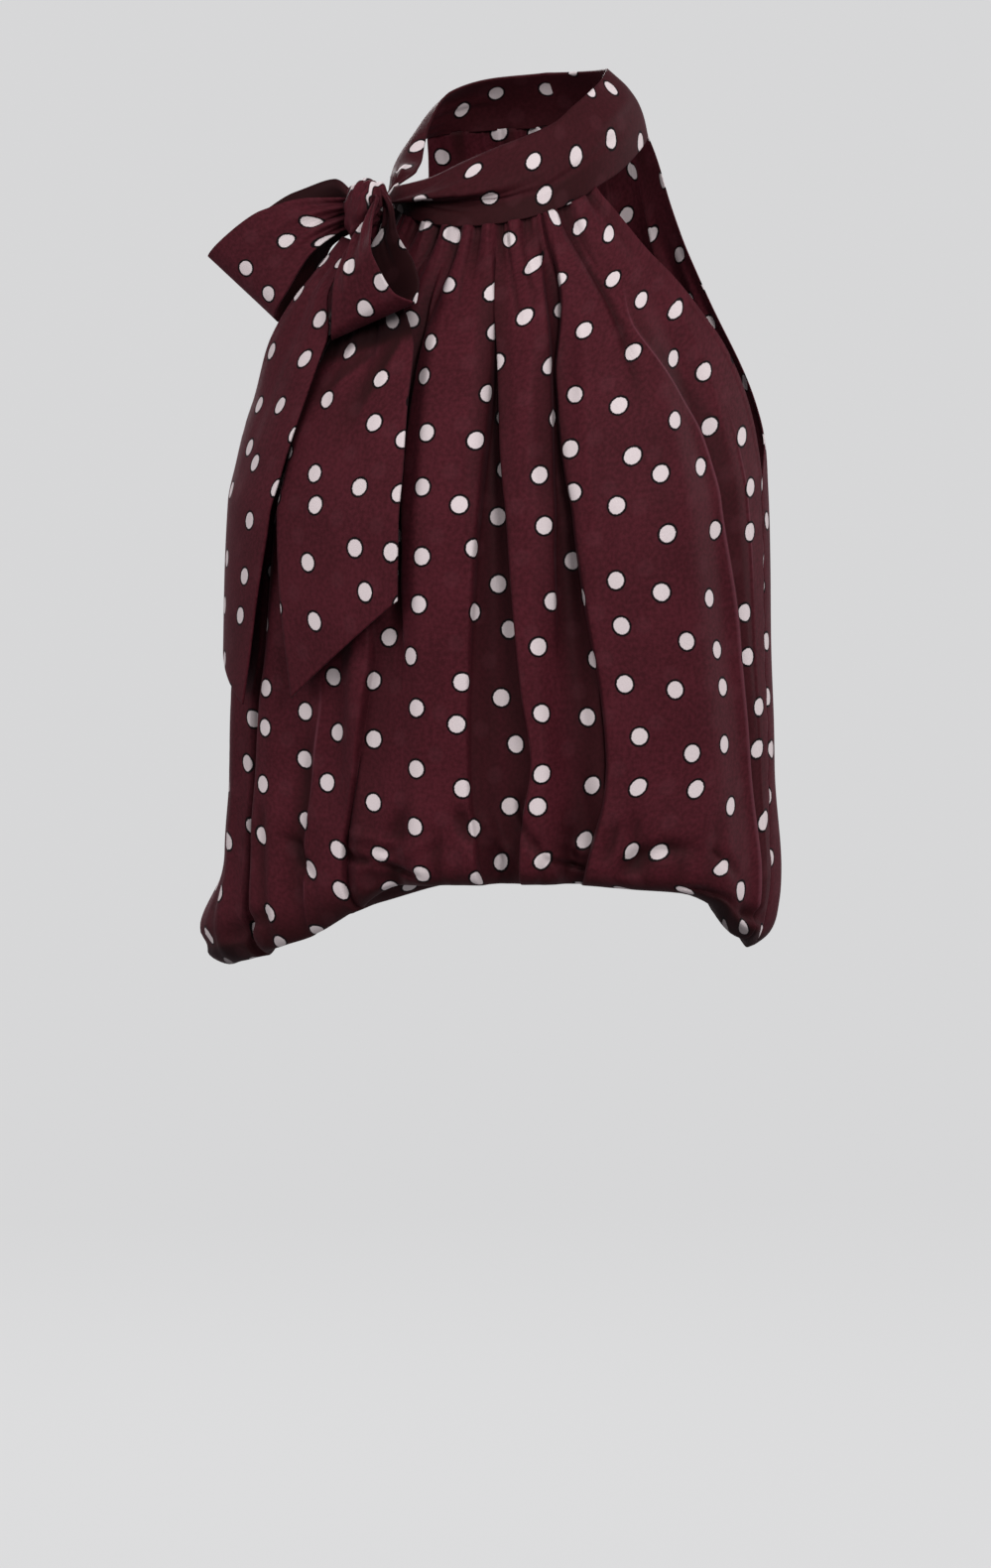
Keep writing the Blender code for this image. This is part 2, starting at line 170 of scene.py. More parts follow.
BACK_ROWS = [
    (0.00, 60, 67, 39, 20, 80, 27),
    (0.05, 61, 70, 49, 6, 85, 8),
    (0.10, 62, 74, 58, -15, 90, -14),
    (0.15, 64, 81, 63, -39, 94, -38),
    (0.20, 67, 91, 65, -63, 97, -62),
    (0.25, 71, 104, 62, -88, 98, -87),
    (0.30, 76, 119, 53, -112, 98, -112),
    (0.35, 81, 134, 36, -136, 97, -136),
    (0.40, 86, 147, 11, -160, 95, -160),
    (0.45, 90, 156, -22, -184, 92, -184),
    (0.55, 90, 158, -23, -228, 88, -232),
    (0.65, 90, 159, -24, -275, 86, -280),
    (0.75, 90, 161, -24, -322, 85, -328),
    (0.85, 90, 162, -24, -370, 84, -366),
    (0.92, 90, 163, -24, -400, 83, -389),
]
# along the turn at the waist, share of the tuck inward, share of the fall
TURN = [
    (0.00, 0.00, 0.00),
    (0.20, -0.005, 0.34),
    (0.38, 0.025, 0.65),
    (0.52, 0.11, 0.86),
    (0.64, 0.26, 0.97),
    (0.74, 0.43, 1.00),
    (0.86, 0.68, 0.93),
    (1.00, 1.00, 0.78),
]
# across, lowest z, how far it stands out
FRONT_HEM = [
    (-1.00, -460, 20),
    (-0.86, -461, 15),
    (-0.70, -457, 7),
    (-0.54, -449, 2),
    (-0.38, -439, 0),
    (-0.22, -421, 0),
    (-0.10, -407, 0),
    (0.30, -405, 0),
    (0.48, -408, 0),
    (0.60, -410, 0),
    (0.72, -418, 0),
    (0.82, -432, 0),
    (1.00, -444, -3),
]
BACK_HEM = [
    (-1.00, -460, 20),
    (-0.80, -453, 12),
    (-0.45, -431, 4),
    (-0.15, -415, 0),
    (0.20, -413, 0),
    (0.50, -421, 0),
    (0.78, -436, 0),
    (1.00, -444, -3),
]
SHOWN_DOWN = FRONT_ROWS[-1][0]

# %% [markdown]
# ## Soft pleats
# A fold in hanging cloth is a long trough or ridge that starts under the gathers and widens as
# it falls. One row describes one fold: where its middle runs at the neck, chest and waist, how
# wide and deep it is, and which of its sides is steeper.

# %% Rows of the soft pleats
FOLD_COLUMNS = (
    "neck", "chest", "waist", "width_neck", "width_waist", "lean", "depth", "start", "strength_low"
)
FRONT_FOLDS = [
    (0.19, 0.15, 0.15, 0.080, 0.095, -0.3, -9, 0.06, 1.00),
    (0.50, 0.33, 0.34, 0.090, 0.090, 0.3, -10, 0.06, 1.00),
    (0.38, 0.24, 0.25, 0.140, 0.070, 0.0, 3, 0.02, 0.90),
    (0.76, 0.60, 0.62, 0.140, 0.180, 0.0, 4, 0.05, 0.95),
    (0.88, 0.76, 0.86, 0.110, 0.110, 0.3, -5, 0.06, 0.90),
    (-0.10, -0.08, -0.10, 0.080, 0.100, 0.2, -7, 0.02, 0.50),
    (0.05, 0.02, -0.02, 0.120, 0.110, 0.2, 3, 0.03, 1.00),
    (-0.30, -0.24, -0.25, 0.080, 0.100, 0.3, -5, 0.02, 1.60),
    (-0.56, -0.38, -0.38, 0.090, 0.090, 0.0, -5, 0.04, 1.00),
    (-0.74, -0.52, -0.60, 0.090, 0.090, 0.3, -5, 0.06, 1.40),
    (-0.90, -0.82, -0.84, 0.090, 0.100, 0.0, -3, 0.10, 0.60),
]
BACK_FOLDS = [
    (0.02, 0.03, 0.05, 0.070, 0.100, 0.3, -7, 0.03, 1.00),
    (0.36, 0.30, 0.27, 0.070, 0.100, 0.0, -6, 0.03, 1.00),
    (-0.34, -0.28, -0.25, 0.070, 0.110, -0.3, -7, 0.03, 1.00),
    (0.19, 0.16, 0.15, 0.090, 0.080, 0.0, 3, 0.05, 0.95),
    (-0.16, -0.12, -0.10, 0.090, 0.080, 0.0, 3, 0.05, 0.95),
    (0.68, 0.56, 0.54, 0.080, 0.090, -0.2, -5, 0.05, 0.95),
    (-0.64, -0.54, -0.52, 0.080, 0.090, 0.2, -6, 0.05, 1.00),
    (0.88, 0.80, 0.80, 0.080, 0.090, 0.0, -4, 0.10, 0.90),
    (-0.90, -0.82, -0.80, 0.080, 0.090, 0.0, -4, 0.10, 1.00),
]
CHEST = 0.40
LOW_START = 0.55
FOLD_WIDEST = 0.80
WAIST = 0.90
FOLD_FADE = 0.22


def fold_height(folds, across, down):
    """How far the soft pleats move the cloth in or out, in metres."""
    total = np.zeros_like(across)
    to_chest = ease(down / CHEST)
    to_waist = ease((down - CHEST) / (WAIST - CHEST))
    widening = ease(down / FOLD_WIDEST)
    low = ease((down - LOW_START) / (FOLD_WIDEST - LOW_START))
    for row in folds:
        fold = dict(zip(FOLD_COLUMNS, row))
        centre = fold["neck"] + (fold["chest"] - fold["neck"]) * to_chest
        centre += (fold["waist"] - fold["chest"]) * to_waist
        width = fold["width_neck"] + (fold["width_waist"] - fold["width_neck"]) * widening
        strength = ease((down - fold["start"]) / FOLD_FADE) * (1 + (fold["strength_low"] - 1) * low)
        distance = (across - centre) / width
        steep = distance * fold["lean"] > 0
        distance = distance / np.where(steep, 1 - abs(fold["lean"]), 1 + abs(fold["lean"]))
        total += fold["depth"] / 1000 * strength * bump(distance)
    return total


# %% [markdown]
# ## Pleat edges
# Where a fold is pushed together, its edge becomes a lip that hangs over the valley beside it,
# and this, with painted shade on the valley's floor, gives the front its long dark lines. A
# plain height can't hang over, so each lip also slides the cloth sideways. The columns of the
# mesh follow these lines, which keeps every edge crisp with far fewer faces than an even grid
# would need. Shade and light are also painted into the colour: darker on the floor of a deep
# valley, and lighter along a pressed line. Every point carries that as a number named dark,
# which the material reads: 1 is the painted shade of a deep fold, more than 1 is a nearly black
# painted shadow, and less than 0 is a painted highlight along a pressed line.

# %% Lines of the pleat edges
# Each line: low side (1 is towards the wearer's left), rise, spread of the high side, width of
# the valley and overhang, all in millimetres, then where the edge starts and ends, how much
# painted shade the valley gets, how much painted highlight the pressed line itself gets, and
# the line's path as (down, across)
EDGE_COLUMNS = (
    "low_side", "rise", "spread", "valley", "overhang", "start", "end", "dark", "light", "path"
)
FRONT_EDGES = [
    (1, 5.0, 16, 16, 2.0, 0.30, 1.10, 0.25, 0.00,
     ((0, -0.66), (0.40, -0.515), (0.62, -0.543), (0.73, -0.604), (1, -0.617))),
    (1, 6.0, 18, 22, 2.5, 0.52, 1.10, 0.30, 0.00,
     ((0, -0.30), (0.40, -0.20), (0.62, -0.160), (0.69, -0.176), (0.78, -0.199), (0.89, -0.236),
      (0.94, -0.251), (1, -0.223))),
    (-1, 1.2, 7, 7, 0.3, 0.64, 1.10, 0.00, 0.36,
     ((0, -0.45), (0.40, -0.33), (0.69, -0.300), (0.78, -0.322), (0.96, -0.355), (1, -0.36))),
    (-1, 6.0, 14, 14, 2.0, 0.04, 0.66, 0.60, 0.00,
     ((0, -0.11), (0.17, -0.085), (0.39, -0.069), (0.50, -0.057), (0.80, -0.060), (1, -0.060))),
    (1, 5.0, 16, 24, 2.5, 0.00, 1.10, 0.55, 0.00,
     ((0, 0.195), (0.17, 0.148), (0.39, 0.108), (0.50, 0.093), (0.81, 0.072), (1, 0.095))),
    (-1, 6.0, 12, 24, 3.0, 0.02, 1.10, 0.62, 0.00,
     ((0, 0.245), (0.15, 0.200), (0.34, 0.187), (0.44, 0.194), (0.68, 0.225), (0.78, 0.243),
      (0.89, 0.215), (1, 0.205))),
    (1, 4.0, 12, 18, 2.0, 0.01, 0.66, 0.50, 0.00,
     ((0, 0.530), (0.15, 0.362), (0.35, 0.294), (0.50, 0.277), (0.61, 0.284), (1, 0.300))),
    (-1, 7.0, 20, 26, 3.5, 0.02, 1.10, 0.62, 0.00,
     ((0, 0.630), (0.10, 0.530), (0.26, 0.372), (0.37, 0.352), (0.45, 0.358), (0.58, 0.385),
      (0.69, 0.415), (0.78, 0.422), (0.83, 0.414), (0.90, 0.386), (0.95, 0.364), (1, 0.350))),
    (1, 1.6, 8, 20, 0.3, 0.10, 1.10, 0.50, 0.34,
     ((0, 0.915), (0.025, 0.907), (0.073, 0.852), (0.195, 0.665), (0.30, 0.719), (0.36, 0.760),
      (0.47, 0.782), (0.63, 0.842), (0.96, 0.903), (1, 0.905))),
    (-1, 0.7, 5, 6, 0.2, 0.32, 0.98, 0.00, 0.26,
     ((0, 0.965), (0.30, 0.885), (0.42, 0.885), (0.53, 0.900), (0.70, 0.924), (0.88, 0.936),
      (1, 0.945))),
]
BACK_EDGES = [
    (1, 5.0, 16, 16, 2.0, 0.05, 1.10, 0.40, 0.00,
     ((0, -0.66), (0.35, -0.58), (0.70, -0.56), (1, -0.55))),
    (-1, 6.0, 18, 20, 2.5, 0.03, 1.10, 0.60, 0.00,
     ((0, -0.30), (0.35, -0.24), (0.70, -0.21), (1, -0.20))),
    (1, 7.0, 18, 22, 3.0, 0.02, 1.10, 0.80, 0.00,
     ((0, -0.02), (0.35, 0.00), (0.70, 0.01), (1, 0.02))),
    (-1, 6.0, 16, 16, 2.5, 0.04, 0.95, 0.60, 0.00,
     ((0, 0.40), (0.35, 0.34), (0.70, 0.31), (1, 0.30))),
    (1, 4.0, 16, 14, 1.5, 0.05, 1.10, 0.30, 0.00,
     ((0, 0.64), (0.35, 0.54), (0.70, 0.52), (1, 0.53))),
]
CLIFF = 0.0026
LIP = 0.0045
EDGE_FADE = 0.14
VALLEY_OPEN = 0.60
VALLEY_LEAST = 0.40
PRESSED = 0.0010


def edge_move(edges, across, down, unit_width):
    """Height and slide that the pleat edges give, in metres, and their painted shade and highlight.
    """
    height = np.zeros_like(across)
    slide = np.zeros_like(across)
    dark = np.zeros_like(across)
    light = np.zeros_like(across)
    opening = VALLEY_LEAST + (1 - VALLEY_LEAST) * ease(down / VALLEY_OPEN)
    for row in edges:
        edge = dict(zip(EDGE_COLUMNS, row))
        line = read_table(edge["path"], down, 1)
        distance = (across - line) * unit_width * edge["low_side"]
        strength = ease((down - edge["start"]) / EDGE_FADE) * ease((edge["end"] - down) / EDGE_FADE)
        high = bump(np.minimum(distance, 0) / (edge["spread"] / 1000))
        drop = 1 - 2 * ease(distance / CLIFF)
        valley = np.maximum(distance - CLIFF, 0) / (edge["valley"] / 1000 * opening)
        low = drop * bump(valley)
        floor = ease(distance / CLIFF) * (1 - ease(1.6 * valley - 0.6))
        dark = np.maximum(dark, edge["dark"] * strength * floor)
        light = np.maximum(light, edge["light"] * strength * bump(distance / PRESSED))
        height += 0.5 * edge["rise"] / 1000 * strength * np.where(distance < 0, high, low)
        slide += edge["low_side"] * edge["overhang"] / 1000 * strength * bump(distance / LIP)
    return height, slide, dark, light


def column_places(edges, down, per_stretch):
    """Where the mesh columns lie at each row: they follow the edges and crowd towards them."""
    paths = sorted([edge[-1] for edge in edges], key=lambda path: path[0][1])
    lines = [np.full_like(down, -1.0)]
    lines += [read_table(path, down, 1) for path in paths]
    lines += [np.full_like(down, 1.0)]
    steps = np.arange(per_stretch) / per_stretch
    crowded = 0.45 * steps + 0.55 * (0.5 - 0.5 * np.cos(math.pi * steps))
    columns = []
    for left, right in zip(lines[:-1], lines[1:]):
        columns.append(left[:, None] + (right - left)[:, None] * crowded[None, :])
    columns.append(lines[-1][:, None])
    return np.concatenate(columns, axis=1)


# %% [markdown]
# ## Creases
# Smaller creases are strokes drawn on the cloth: from one place to another, a little bent, and
# fading at both ends. The same helper serves the panels, the band, the knot and the ties.

# %% A table of strokes becomes heights
STROKE_COLUMNS = ("from_a", "from_b", "to_a", "to_b", "bend", "width", "depth")


def stroke_height(strokes, a, b, size_a, size_b):
    """Adds up soft strokes over a sheet whose sides are size_a and size_b metres long."""
    total = np.zeros_like(a)
    for row in strokes:
        stroke = dict(zip(STROKE_COLUMNS, row))
        to_a = (a - stroke["from_a"]) * size_a
        to_b = (b - stroke["from_b"]) * size_b
        run_a = (stroke["to_a"] - stroke["from_a"]) * size_a
        run_b = (stroke["to_b"] - stroke["from_b"]) * size_b
        length = math.hypot(run_a, run_b)
        t = (to_a * run_a + to_b * run_b) / length ** 2
        side = (to_b * run_a - to_a * run_b) / length
        side = side - stroke["bend"] / 1000 * np.sin(math.pi * np.clip(t, 0, 1))
        fade = ease(t / 0.3) * ease((1 - t) / 0.3)
        total += stroke["depth"] / 1000 * fade * bump(side / (stroke["width"] / 1000))
    return total


# %% [markdown]
# ## Laying the print on the cloth
# Spots stay round only if the print knows how the cloth lies. Along each row the cloth's own
# length is measured over every pleat, and down each column only the part of each step that goes
# across the row is counted. The two lengths are written to a UV map in metres, so a spot of
# 9.3 mm in the material is 9.3 mm on the cloth, and it bends away into the pleats. The lengths
# along are evened out over a few rows, so that a bent pleat edge doesn't shear the spots.

# %% Measure the cloth along and down
EVENED_ROWS = 6


def cloth_lengths(points, anchor_row, anchor_column):
    """Lengths in metres along the rows and down the columns of a grid of points."""
    along = np.diff(points, axis=1)
    step_along = np.linalg.norm(along, axis=2)
    u = np.concatenate([np.zeros((len(points), 1)), np.cumsum(step_along, axis=1)], axis=1)
    u -= u[:, anchor_column][:, None]
    window = 2 * EVENED_ROWS + 1
    padded = np.pad(u, ((EVENED_ROWS, EVENED_ROWS), (0, 0)), mode="edge")
    u = sum(padded[k:k + len(points)] for k in range(window)) / window
    row_way = np.gradient(points, axis=1)
    row_way /= np.linalg.norm(row_way, axis=2)[..., None] + 1e-12
    down = np.diff(points, axis=0)
    middle_way = (row_way[1:] + row_way[:-1]) / 2
    straight = down - (down * middle_way).sum(axis=2)[..., None] * middle_way
    step_down = np.linalg.norm(straight, axis=2)
    kernel = max(3, points.shape[1] // 12) | 1
    padded = np.pad(step_down, ((0, 0), (kernel // 2, kernel // 2)), mode="edge")
    sums = np.cumsum(np.pad(padded, ((0, 0), (1, 0))), axis=1)
    step_down = (sums[:, kernel:] - sums[:, :-kernel]) / kernel
    v = np.concatenate([np.zeros((1, points.shape[1])), np.cumsum(step_down, axis=0)], axis=0)
    v -= v[anchor_row]
    return u, -v


# %% [markdown]
# ## From points to a piece of cloth
# A piece is a grid of points joined by four-sided faces.

# %% Make one piece of cloth
CREPE = 0.0006


def surface_normals(points, closed=False):
    """The direction out of a grid of points, from its neighbours on both sides."""
    if closed:
        wrapped = np.concatenate([points[:, -1:], points, points[:, :1]], axis=1)
        along = (wrapped[:, 2:] - wrapped[:, :-2]) / 2
    else:
        along = np.gradient(points, axis=1)
    down = np.gradient(points, axis=0)
    normals = np.cross(down, along)
    return normals / (np.linalg.norm(normals, axis=2)[..., None] + 1e-12)


def cloth_piece(name, points, lengths, closed=False, thickness=CREPE, dark=None):
    """Joins a grid of points to a mesh with its cloth lengths as UVs, and gives it a wall."""
    rows, columns = points.shape[:2]
    index = np.arange(rows * columns).reshape(rows, columns)
    u, v = lengths
    if closed:
        index = np.concatenate([index, index[:, :1]], axis=1)
        lap = np.linalg.norm(points[:, 0] - points[:, -1], axis=1)
        u = np.concatenate([u, u[:, -1:] + lap[:, None]], axis=1)
        v = np.concatenate([v, v[:, :1]], axis=1)
    corners = (slice(None, -1), slice(1, None))
    order = [(0, 0), (1, 0), (1, 1), (0, 1)]
    faces = np.stack([index[corners[a], corners[b]] for a, b in order], axis=-1)
    face_u = np.stack([u[corners[a], corners[b]] for a, b in order], axis=-1)
    face_v = np.stack([v[corners[a], corners[b]] for a, b in order], axis=-1)
    mesh = bpy.data.meshes.new(name)
    mesh.from_pydata(points.reshape(-1, 3).tolist(), [], faces.reshape(-1, 4).tolist())
    uv_map = mesh.uv_layers.new(name="cloth")
    flat_uv = np.stack([face_u.reshape(-1), face_v.reshape(-1)], axis=1)
    uv_map.data.foreach_set("uv", flat_uv.astype(np.float32).reshape(-1))
    # the painted shade and highlight are kept on each point as the attribute dark
    if dark is not None:
        darkness = mesh.attributes.new("dark", "FLOAT", "POINT")
        darkness.data.foreach_set("value", dark.astype(np.float32).reshape(-1))
    mesh.shade_smooth()
    mesh.materials.append(spotted_crepe)
    piece = bpy.data.objects.new(name + "_cloth", mesh)
    bpy.context.scene.collection.objects.link(piece)
    wall = piece.modifiers.new("Wall", "SOLIDIFY")
    wall.thickness = thickness
    wall.offset = 0.0
    wall.use_even_offset = False
    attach(piece, "root")
    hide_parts(name)
    a, b, c, d = (points.reshape(-1, 3)[faces.reshape(-1, 4)[:, k]] for k in range(4))
    area = np.linalg.norm(np.cross(c - a, d - b), axis=1).sum() / 2
    print(f"{name}: {rows} x {columns} points, {area:.4f} square metres of cloth")
    return piece


# %% [markdown]
# ## The spotted crepe
# The cloth is a fine matt crepe, printed with pinkish white spots that have a thin black rim.
# An image would blur close up, so the print is worked out in the shader. The cloth is divided
# into columns 30 mm wide, each with a spot every 30.5 mm, and every column is slid against the
# one beside it. A little noise moves each spot off its place, because print on soft cloth is
# never quite regular. A second, very faint set shows the layer underneath. Narrow hollows get
# a little painted shade: an occlusion node darkens the colour itself wherever other surfaces
# are near.

# %% Sizes and colours of the print
SPOT_COLUMN = 0.0300
SPOT_STEP = 0.0305
SPOT_RADIUS = 0.00465
SPOT_RIM = 0.0013
SPOT_EDGE = 0.00025
SPOT_JITTER = 0.0150
COLUMN_SLIDE = 0.310
BURGUNDY = (0.0660, 0.0092, 0.0150, 1.0)
BURGUNDY_DEEP = (0.0400, 0.0052, 0.0084, 1.0)
# painted shade, mixed in where dark is up to 1: deep valleys, gathers, creases, the roll at the
# waist
PAINTED_SHADE_BURGUNDY = (0.0200, 0.0036, 0.0042, 1.0)
# painted highlight, mixed in where dark is below 0: the pressed lines
PAINTED_HIGHLIGHT_PINK = (0.2100, 0.0700, 0.0950, 1.0)
# black of the spots' printed rim, and also the nearly black painted shadow where dark is above 1
RIM_AND_PAINTED_SHADOW_BLACK = (0.0035, 0.0012, 0.0018, 1.0)
SPOT_WHITE = (0.680, 0.590, 0.595, 1.0)
SPOT_SHADE = (0.560, 0.475, 0.485, 1.0)
GHOST = (0.1150, 0.0330, 0.0430, 1.0)

# %% Helpers that wire the shader
spotted_crepe = bpy.data.materials.new("spotted_crepe")
spotted_crepe.use_nodes = True
tree = spotted_crepe.node_tree
shader = tree.nodes["Principled BSDF"]


def wire(value, socket):
    """Links a value that is another node's socket, or sets it as a number."""
    if isinstance(value, bpy.types.NodeSocket):
        tree.links.new(value, socket)
    else:
        socket.default_value = value


def maths(operation, *values):
    node = tree.nodes.new("ShaderNodeMath")
    node.operation = operation
    for value, socket in zip(values, node.inputs):
        wire(value, socket)
    return node.outputs[0]


def mixed(share, first, second):
    node = tree.nodes.new("ShaderNodeMix")
    node.data_type = "RGBA"
    node.clamp_factor = True
    wire(share, node.inputs["Factor"])
    wire(first, node.inputs[6])
    wire(second, node.inputs[7])
    return node.outputs[2]


def noise(vector, scale, detail=2.0):
    node = tree.nodes.new("ShaderNodeTexNoise")
    node.noise_dimensions = "2D"
    wire(vector, node.inputs["Vector"])
    node.inputs["Scale"].default_value = scale
    node.inputs["Detail"].default_value = detail
    return node.outputs["Fac"]


# %% Where the cloth is, and where each spot's centre is
uv_node = tree.nodes.new("ShaderNodeUVMap")
uv_node.uv_map = "cloth"
place = uv_node.outputs["UV"]
split = tree.nodes.new("ShaderNodeSeparateXYZ")
tree.links.new(place, split.inputs[0])


def spot_distance(shift_u, shift_v):
    """Distance in metres from the nearest spot's centre, for a print shifted on the cloth."""
    u = maths("DIVIDE", maths("ADD", split.outputs[0], shift_u), SPOT_COLUMN)
    column = maths("FLOOR", u)
    slide = maths("MULTIPLY", column, COLUMN_SLIDE)
    v = maths("ADD", maths("DIVIDE", maths("ADD", split.outputs[1], shift_v), SPOT_STEP), slide)
    row = maths("FLOOR", v)
    cell = tree.nodes.new("ShaderNodeCombineXYZ")
    wire(column, cell.inputs[0])
    wire(row, cell.inputs[1])
    random = tree.nodes.new("ShaderNodeTexWhiteNoise")
    random.noise_dimensions = "2D"
    wire(cell.outputs[0], random.inputs["Vector"])
    parts = tree.nodes.new("ShaderNodeSeparateColor")
    wire(random.outputs["Color"], parts.inputs[0])
    offsets = []
    for value, size, part in ((u, SPOT_COLUMN, 0), (v, SPOT_STEP, 1)):
        inside = maths("MULTIPLY", maths("SUBTRACT", maths("FRACT", value), 0.5), size)
        jitter = maths("MULTIPLY", maths("SUBTRACT", parts.outputs[part], 0.5), SPOT_JITTER)
        offsets.append(maths("SUBTRACT", inside, jitter))
    squares = [maths("MULTIPLY", offset, offset) for offset in offsets]
    return maths("SQRT", maths("ADD", *squares))


def inside_circle(distance, radius, softness):
    """1 inside the circle and 0 outside, with a soft edge."""
    node = tree.nodes.new("ShaderNodeMapRange")
    node.interpolation_type = "SMOOTHSTEP"
    wire(distance, node.inputs["Value"])
    node.inputs["From Min"].default_value = radius - softness
    node.inputs["From Max"].default_value = radius + softness
    node.inputs["To Min"].default_value = 1.0
    node.inputs["To Max"].default_value = 0.0
    return node.outputs[0]


# %% Colour: crepe, painted shade and highlight, faint under-layer, black rim, spot, painted shade in hollows
PAINTED_HOLLOW_REACH = 0.024
PAINTED_HOLLOW_SHARE = 0.75
RAGGED_EDGE = 0.0006
GRAIN_CONTRAST = 2.2
GHOST_SHIFT = (0.0126, 0.0171)
GHOST_EDGE = 0.0014
GHOST_SHARE = 0.10
ragged = maths("MULTIPLY", maths("SUBTRACT", noise(place, 900.0), 0.5), RAGGED_EDGE)
distance = maths("ADD", spot_distance(0.0, 0.0), ragged)
ghost_distance = spot_distance(*GHOST_SHIFT)
crepe_grain = noise(place, 420.0, 4.0)
crepe_cloud = noise(place, 28.0, 2.0)
grain = maths("MULTIPLY", maths("SUBTRACT", crepe_grain, 0.5), GRAIN_CONTRAST)
mottle = maths("ADD", grain, crepe_cloud)
crepe = mixed(mottle, BURGUNDY, BURGUNDY_DEEP)
# Painted shade and highlight from the point attribute dark: up to 1 it mixes in the painted shade
# colour, below 0 the painted highlight, and above 1 a nearly black painted shadow that covers the
# spots too
painted_shade_node = tree.nodes.new("ShaderNodeAttribute")
painted_shade_node.attribute_name = "dark"
crepe = mixed(painted_shade_node.outputs["Fac"], crepe, PAINTED_SHADE_BURGUNDY)
crepe = mixed(maths("MULTIPLY", painted_shade_node.outputs["Fac"], -1.0), crepe, PAINTED_HIGHLIGHT_PINK)
painted_deep_shadow = maths("SUBTRACT", painted_shade_node.outputs["Fac"], 1.0)
ghost = maths("MULTIPLY", inside_circle(ghost_distance, SPOT_RADIUS, GHOST_EDGE), GHOST_SHARE)
under = mixed(ghost, crepe, GHOST)
rimmed = mixed(inside_circle(distance, SPOT_RADIUS + SPOT_RIM, SPOT_EDGE), under, RIM_AND_PAINTED_SHADOW_BLACK)
spot_colour = mixed(noise(place, 1500.0, 1.0), SPOT_WHITE, SPOT_SHADE)
spot_inside = inside_circle(distance, SPOT_RADIUS, SPOT_EDGE)
printed = mixed(spot_inside, rimmed, spot_colour)
printed = mixed(painted_deep_shadow, printed, RIM_AND_PAINTED_SHADOW_BLACK)
# painted shade in hollows: the occlusion node darkens the base colour itself, and a share of it is
# mixed in
painted_hollow_shade = tree.nodes.new("ShaderNodeAmbientOcclusion")
painted_hollow_shade.samples = 8
painted_hollow_shade.inputs["Distance"].default_value = PAINTED_HOLLOW_REACH
wire(printed, painted_hollow_shade.inputs["Color"])
shaded = mixed(PAINTED_HOLLOW_SHARE, printed, painted_hollow_shade.outputs["Color"])
tree.links.new(shaded, shader.inputs["Base Color"])
print("the print has a spot every", round(SPOT_COLUMN * SPOT_STEP * 1e6), "square millimetres")

# %% [markdown]
# Crepe is made of hard-twisted threads, so it has a fine pebbled face and a soft sheen towards
# its edges instead of a gloss. The pebbles are bump, with a plain weave of about 0.45 mm under
# them. The sheen is set on the shader's own sockets.

# %% Surface: weave, pebbles and sheen
THREAD = 0.00045
threads = []
for part in (0, 1):
    turns = maths("MULTIPLY", split.outputs[part], 2 * math.pi / THREAD)
    threads.append(maths("SINE", turns))
weave = maths("MULTIPLY", threads[0], threads[1])
pebbles = noise(place, 1100.0, 3.0)
relief = maths("ADD", maths("MULTIPLY", weave, 0.25), pebbles)
surface_bump = tree.nodes.new("ShaderNodeBump")
surface_bump.inputs["Strength"].default_value = 0.35
surface_bump.inputs["Distance"].default_value = 0.00008
tree.links.new(relief, surface_bump.inputs["Height"])
tree.links.new(surface_bump.outputs[0], shader.inputs["Normal"])
shader.inputs["Roughness"].default_value = 0.66
shader.inputs["Specular IOR Level"].default_value = 0.07
shader.inputs["Sheen Weight"].default_value = 0.05
shader.inputs["Sheen Roughness"].default_value = 0.42
shader.inputs["Sheen Tint"].default_value = (0.80, 0.36, 0.44, 1.0)
print("nodes in the material:", len(tree.nodes))

# %% [markdown]
# ## The panels' surface
# One function puts the parts together: the half-ellipse of the level, the soft pleats, the
# gathers under the band, the pleat edges, and the roll over the waist. Front and back differ
# only in their tables.

# %% A panel's surface
GATHER_HEIGHT = 0.0022
GATHER_DRIFT = 0.05
GATHERS_END = 0.21
SIDE_FADE = 0.10
EDGE_FALL = 0.85
BLOUSE_REACH = 0.75
TUCK_SMOOTHING = 0.3
ALLOWANCE_END = 0.02
SIDE_SEAM_FROM = 0.44
NARROW_HEM = 0.0042
STITCH_GROOVE = 0.0009
CALM = 0.35
# painted shade: in the tucks of the gathers, in the creases, in the roll at the waist, and a nearly
# black painted shadow on the layer under the corners
GATHER_PAINTED_SHADE = 0.85
GATHER_DARK_END = 0.17
CREASE_PAINTED_SHADE = 0.50
UNDER_ROLL_PAINTED_SHADE = 0.80
BLOUSE_SWELL = 0.0025
SWELL_REACH = 0.13
PANEL_HALF_WIDTH = 0.215
PANEL_LENGTH = 0.46
CREASE_FULL = 0.0025
CREASE_MOST = 1.8
UNDER_FROM = 0.940
CORNER_FROM = 0.50
CORNER_PAINTED_SHADOW = 1.65
LAYER_FROM = 0.957
SEAM_PINCH = 0.0007
SEAM_REACH = 0.004
HEM_STANDS = 0.0004
GROOVE_DEPTH = 0.0003


